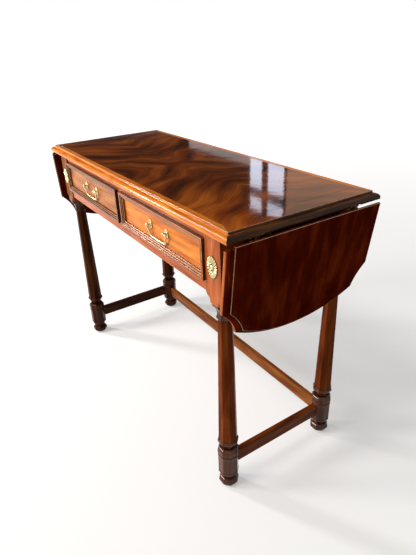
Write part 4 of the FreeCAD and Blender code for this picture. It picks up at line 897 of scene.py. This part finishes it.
# %% [markdown]
# ## The room
#
# The floor is a plain pale plane that runs past the horizon. The camera sees it with white added, and more of
# it from 1 m to 4 m away, so that it reads as the paper-white ground of a studio and still keeps a soft
# shadow, while it sends only its own grey up to the table. The surround is white too, all round and above. In
# what gloss mirrors, though, the studio is unlit high over the far left side. A polished top mirrors exactly
# that side to the camera, and only a dark room there lets the colour of the veneer through.

# %% Floor and surround
FLOOR_REACH = 60.0
FLOOR_NEAR, FLOOR_FAR, FLOOR_LIFT = 1.0, 4.0, (0.38, 0.75)
SURROUND = 0.2
UNLIT_SIDE, UNLIT = (-0.84, 0.54, 0.0), 0.02


def background_rays(tree):
    """1 for rays that show a background: those of the camera, and of gloss and glass. 0 for rays of light."""
    rays = node(tree, "LightPath").node.outputs
    gloss = node(tree, "Math", (rays["Is Camera Ray"], rays["Is Glossy Ray"]), operation="MAXIMUM")
    return node(tree, "Math", (gloss, rays["Is Transmission Ray"]), operation="MAXIMUM")


floor_mesh = bpy.data.meshes.new("floor")
r = FLOOR_REACH
floor_mesh.from_pydata([(-r, -r, 0), (r, -r, 0), (r, r, 0), (-r, r, 0)], [], [(0, 1, 2, 3)])
floor = bpy.data.objects.new("floor", floor_mesh)
bpy.context.scene.collection.objects.link(floor)
floor_finish, floor_tree, floor_shader = new_material("floor_pale_paper")
set_shader(
    floor_tree, floor_shader, base_color=colour("#d4d4d4"), roughness=0.9, specular_ior_level=0.0,
    emission_color=colour("#ffffff"))
place = node(floor_tree, "TexCoord", out="Object")
from_table = node(floor_tree, "VectorMath", (place,), operation="LENGTH", out=1)
added = node(floor_tree, "MapRange", (from_table, FLOOR_NEAR, FLOOR_FAR, *FLOOR_LIFT))
lift = node(floor_tree, "Math", (background_rays(floor_tree), added), operation="MULTIPLY")
floor_tree.links.new(lift, floor_shader.inputs["Emission Strength"])
floor_mesh.materials.append(floor_finish)

world = bpy.data.worlds.new("surround")
bpy.context.scene.world = world
world.use_nodes = True
sky = world.node_tree
background = sky.nodes["Background"]
background.inputs["Color"].default_value = colour("#ffffff")
way = node(sky, "TexCoord", out="Generated")
aside = node(sky, "VectorMath", (way, UNLIT_SIDE), operation="DOT_PRODUCT", out=1)
upwards = node(sky, "SeparateXYZ", (way,), out="Z")
seen = node(sky, "LightPath", out="Is Camera Ray")
unlit = shade_of(sky, [
    (aside, 0.4, 0.65, 0.0, 1.0), (upwards, 0.08, 0.18, 0.0, 1.0), (seen, 0.0, 1.0, 1.0, 0.0)])
shown = node(sky, "MapRange", (unlit, 0.0, 1.0, 1.0, UNLIT))
strength = node(sky, "MapRange", (background_rays(sky), 0.0, 1.0, SURROUND, shown))
sky.links.new(strength, background.inputs["Strength"])
print("surround lights with", SURROUND, "and shows as 1, or", UNLIT, "where it is unlit")

# %% [markdown]
# One broad lamp far away to the front, a little left and high, lights the top and throws the shadow. Two
# windows at the left do most of the rest. They are placed where the eased front arrises and the facets of the
# rings mirror them, which draws the white lines that tell the eye "lacquer". Beyond the far left corner four
# panes stand as a window would, between a pale and a warm piece of wall, and the top mirrors them. A lamp's
# power in watts is its brightness times pi times its area.

# %% Lamps
KEY_AZIMUTH, KEY_HEIGHT, KEY_SPREAD = (math.radians(v) for v in (-10, 52, 20))
KEY_STRENGTH = 1.1
FAR_WALL_Y = 2.6


def aimed(name, light, place, way):
    """Puts a lamp at a place, looking along a way."""
    made = bpy.data.objects.new(name, light)
    bpy.context.scene.collection.objects.link(made)
    made.location = place
    made.rotation_mode = "QUATERNION"
    made.rotation_quaternion = Vector(way).to_track_quat("-Z", "Y")
    return made


def soft_panel(name, place, target, size, brightness, tint):
    """A rectangular lamp that faces its target, as bright as given. The camera sees it only mirrored."""
    light = bpy.data.lights.new(name, "AREA")
    light.shape = "RECTANGLE"
    light.size, light.size_y = size
    light.energy = brightness * math.pi * size[0] * size[1]
    light.color = colour(tint)[:3]
    aimed(name, light, place, Vector(target) - Vector(place)).visible_camera = False


def far_panel(name, x, z, size, brightness, tint):
    """A panel in the far wall, facing straight to the front."""
    soft_panel(name, (x, FAR_WALL_Y, z), (x, 0, z), size, brightness, tint)


key = bpy.data.lights.new("key_lamp", "SUN")
key.energy, key.angle, key.color = KEY_STRENGTH, KEY_SPREAD, colour("#fff8f0")[:3]
key_from = Vector((
    math.sin(KEY_AZIMUTH) * math.cos(KEY_HEIGHT), -math.cos(KEY_AZIMUTH) * math.cos(KEY_HEIGHT),
    math.sin(KEY_HEIGHT)))
aimed("key_lamp", key, 5 * key_from, -key_from)
soft_panel("broad_window", (-1.5, -2.7, 1.45), (0.2, -0.1, 0.4), (0.65, 1.0), 30, "#fffaf4")
soft_panel("tall_window", (-2.35, -1.6, 1.75), (0, -0.1, 0.5), (0.3, 1.8), 32, "#ffffff")
for k, (x, wide) in enumerate(((-2.9, 0.2), (-2.57, 0.25))):
    for z, tall in ((1.77, 0.34), (2.13, 0.14)):
        far_panel(f"window_pane_{k}_{round(z * 100)}", x, z, (wide, tall), 3, "#dfeaff")
far_panel("pale_wall", -3.6, 1.56, (1.4, 0.3), 0.6, "#ffffff")
far_panel("warm_wall", -1.85, 1.9, (1.1, 0.9), 0.8, "#f4cdb0")

# %% [markdown]
# ## The camera
#
# The photograph was taken standing, from beyond the right front corner, with a slightly turned hand-held
# camera. Its place came from the corners of the top and the feet. The long side of the picture is 555 pixels,
# and the focal length of 470 of those pixels gives the lens for a 36 mm film.

# %% Camera
AZIMUTH, ELEVATION, ROLL = (math.radians(v) for v in (57.54, 27.47, -2.33))
FOCAL_PIXELS, LONG_SIDE_PIXELS = 469.75, 555
camera_data = bpy.data.cameras.new("camera")
camera = bpy.data.objects.new("camera", camera_data)
bpy.context.scene.collection.objects.link(camera)
bpy.context.scene.camera = camera
back = Vector((
    math.sin(AZIMUTH) * math.cos(ELEVATION), -math.cos(AZIMUTH) * math.cos(ELEVATION), math.sin(ELEVATION)))
camera.location = (1.0964, -0.62226, 1.00499)
camera.rotation_mode = "QUATERNION"
camera.rotation_quaternion = (-back).to_track_quat("-Z", "Y") @ Quaternion((0, 0, 1), ROLL)
camera_data.sensor_width = 36
camera_data.lens = camera_data.sensor_width * FOCAL_PIXELS / LONG_SIDE_PIXELS
bpy.context.scene.view_settings.view_transform = "Standard"
print("lens in mm:", round(camera_data.lens, 2))
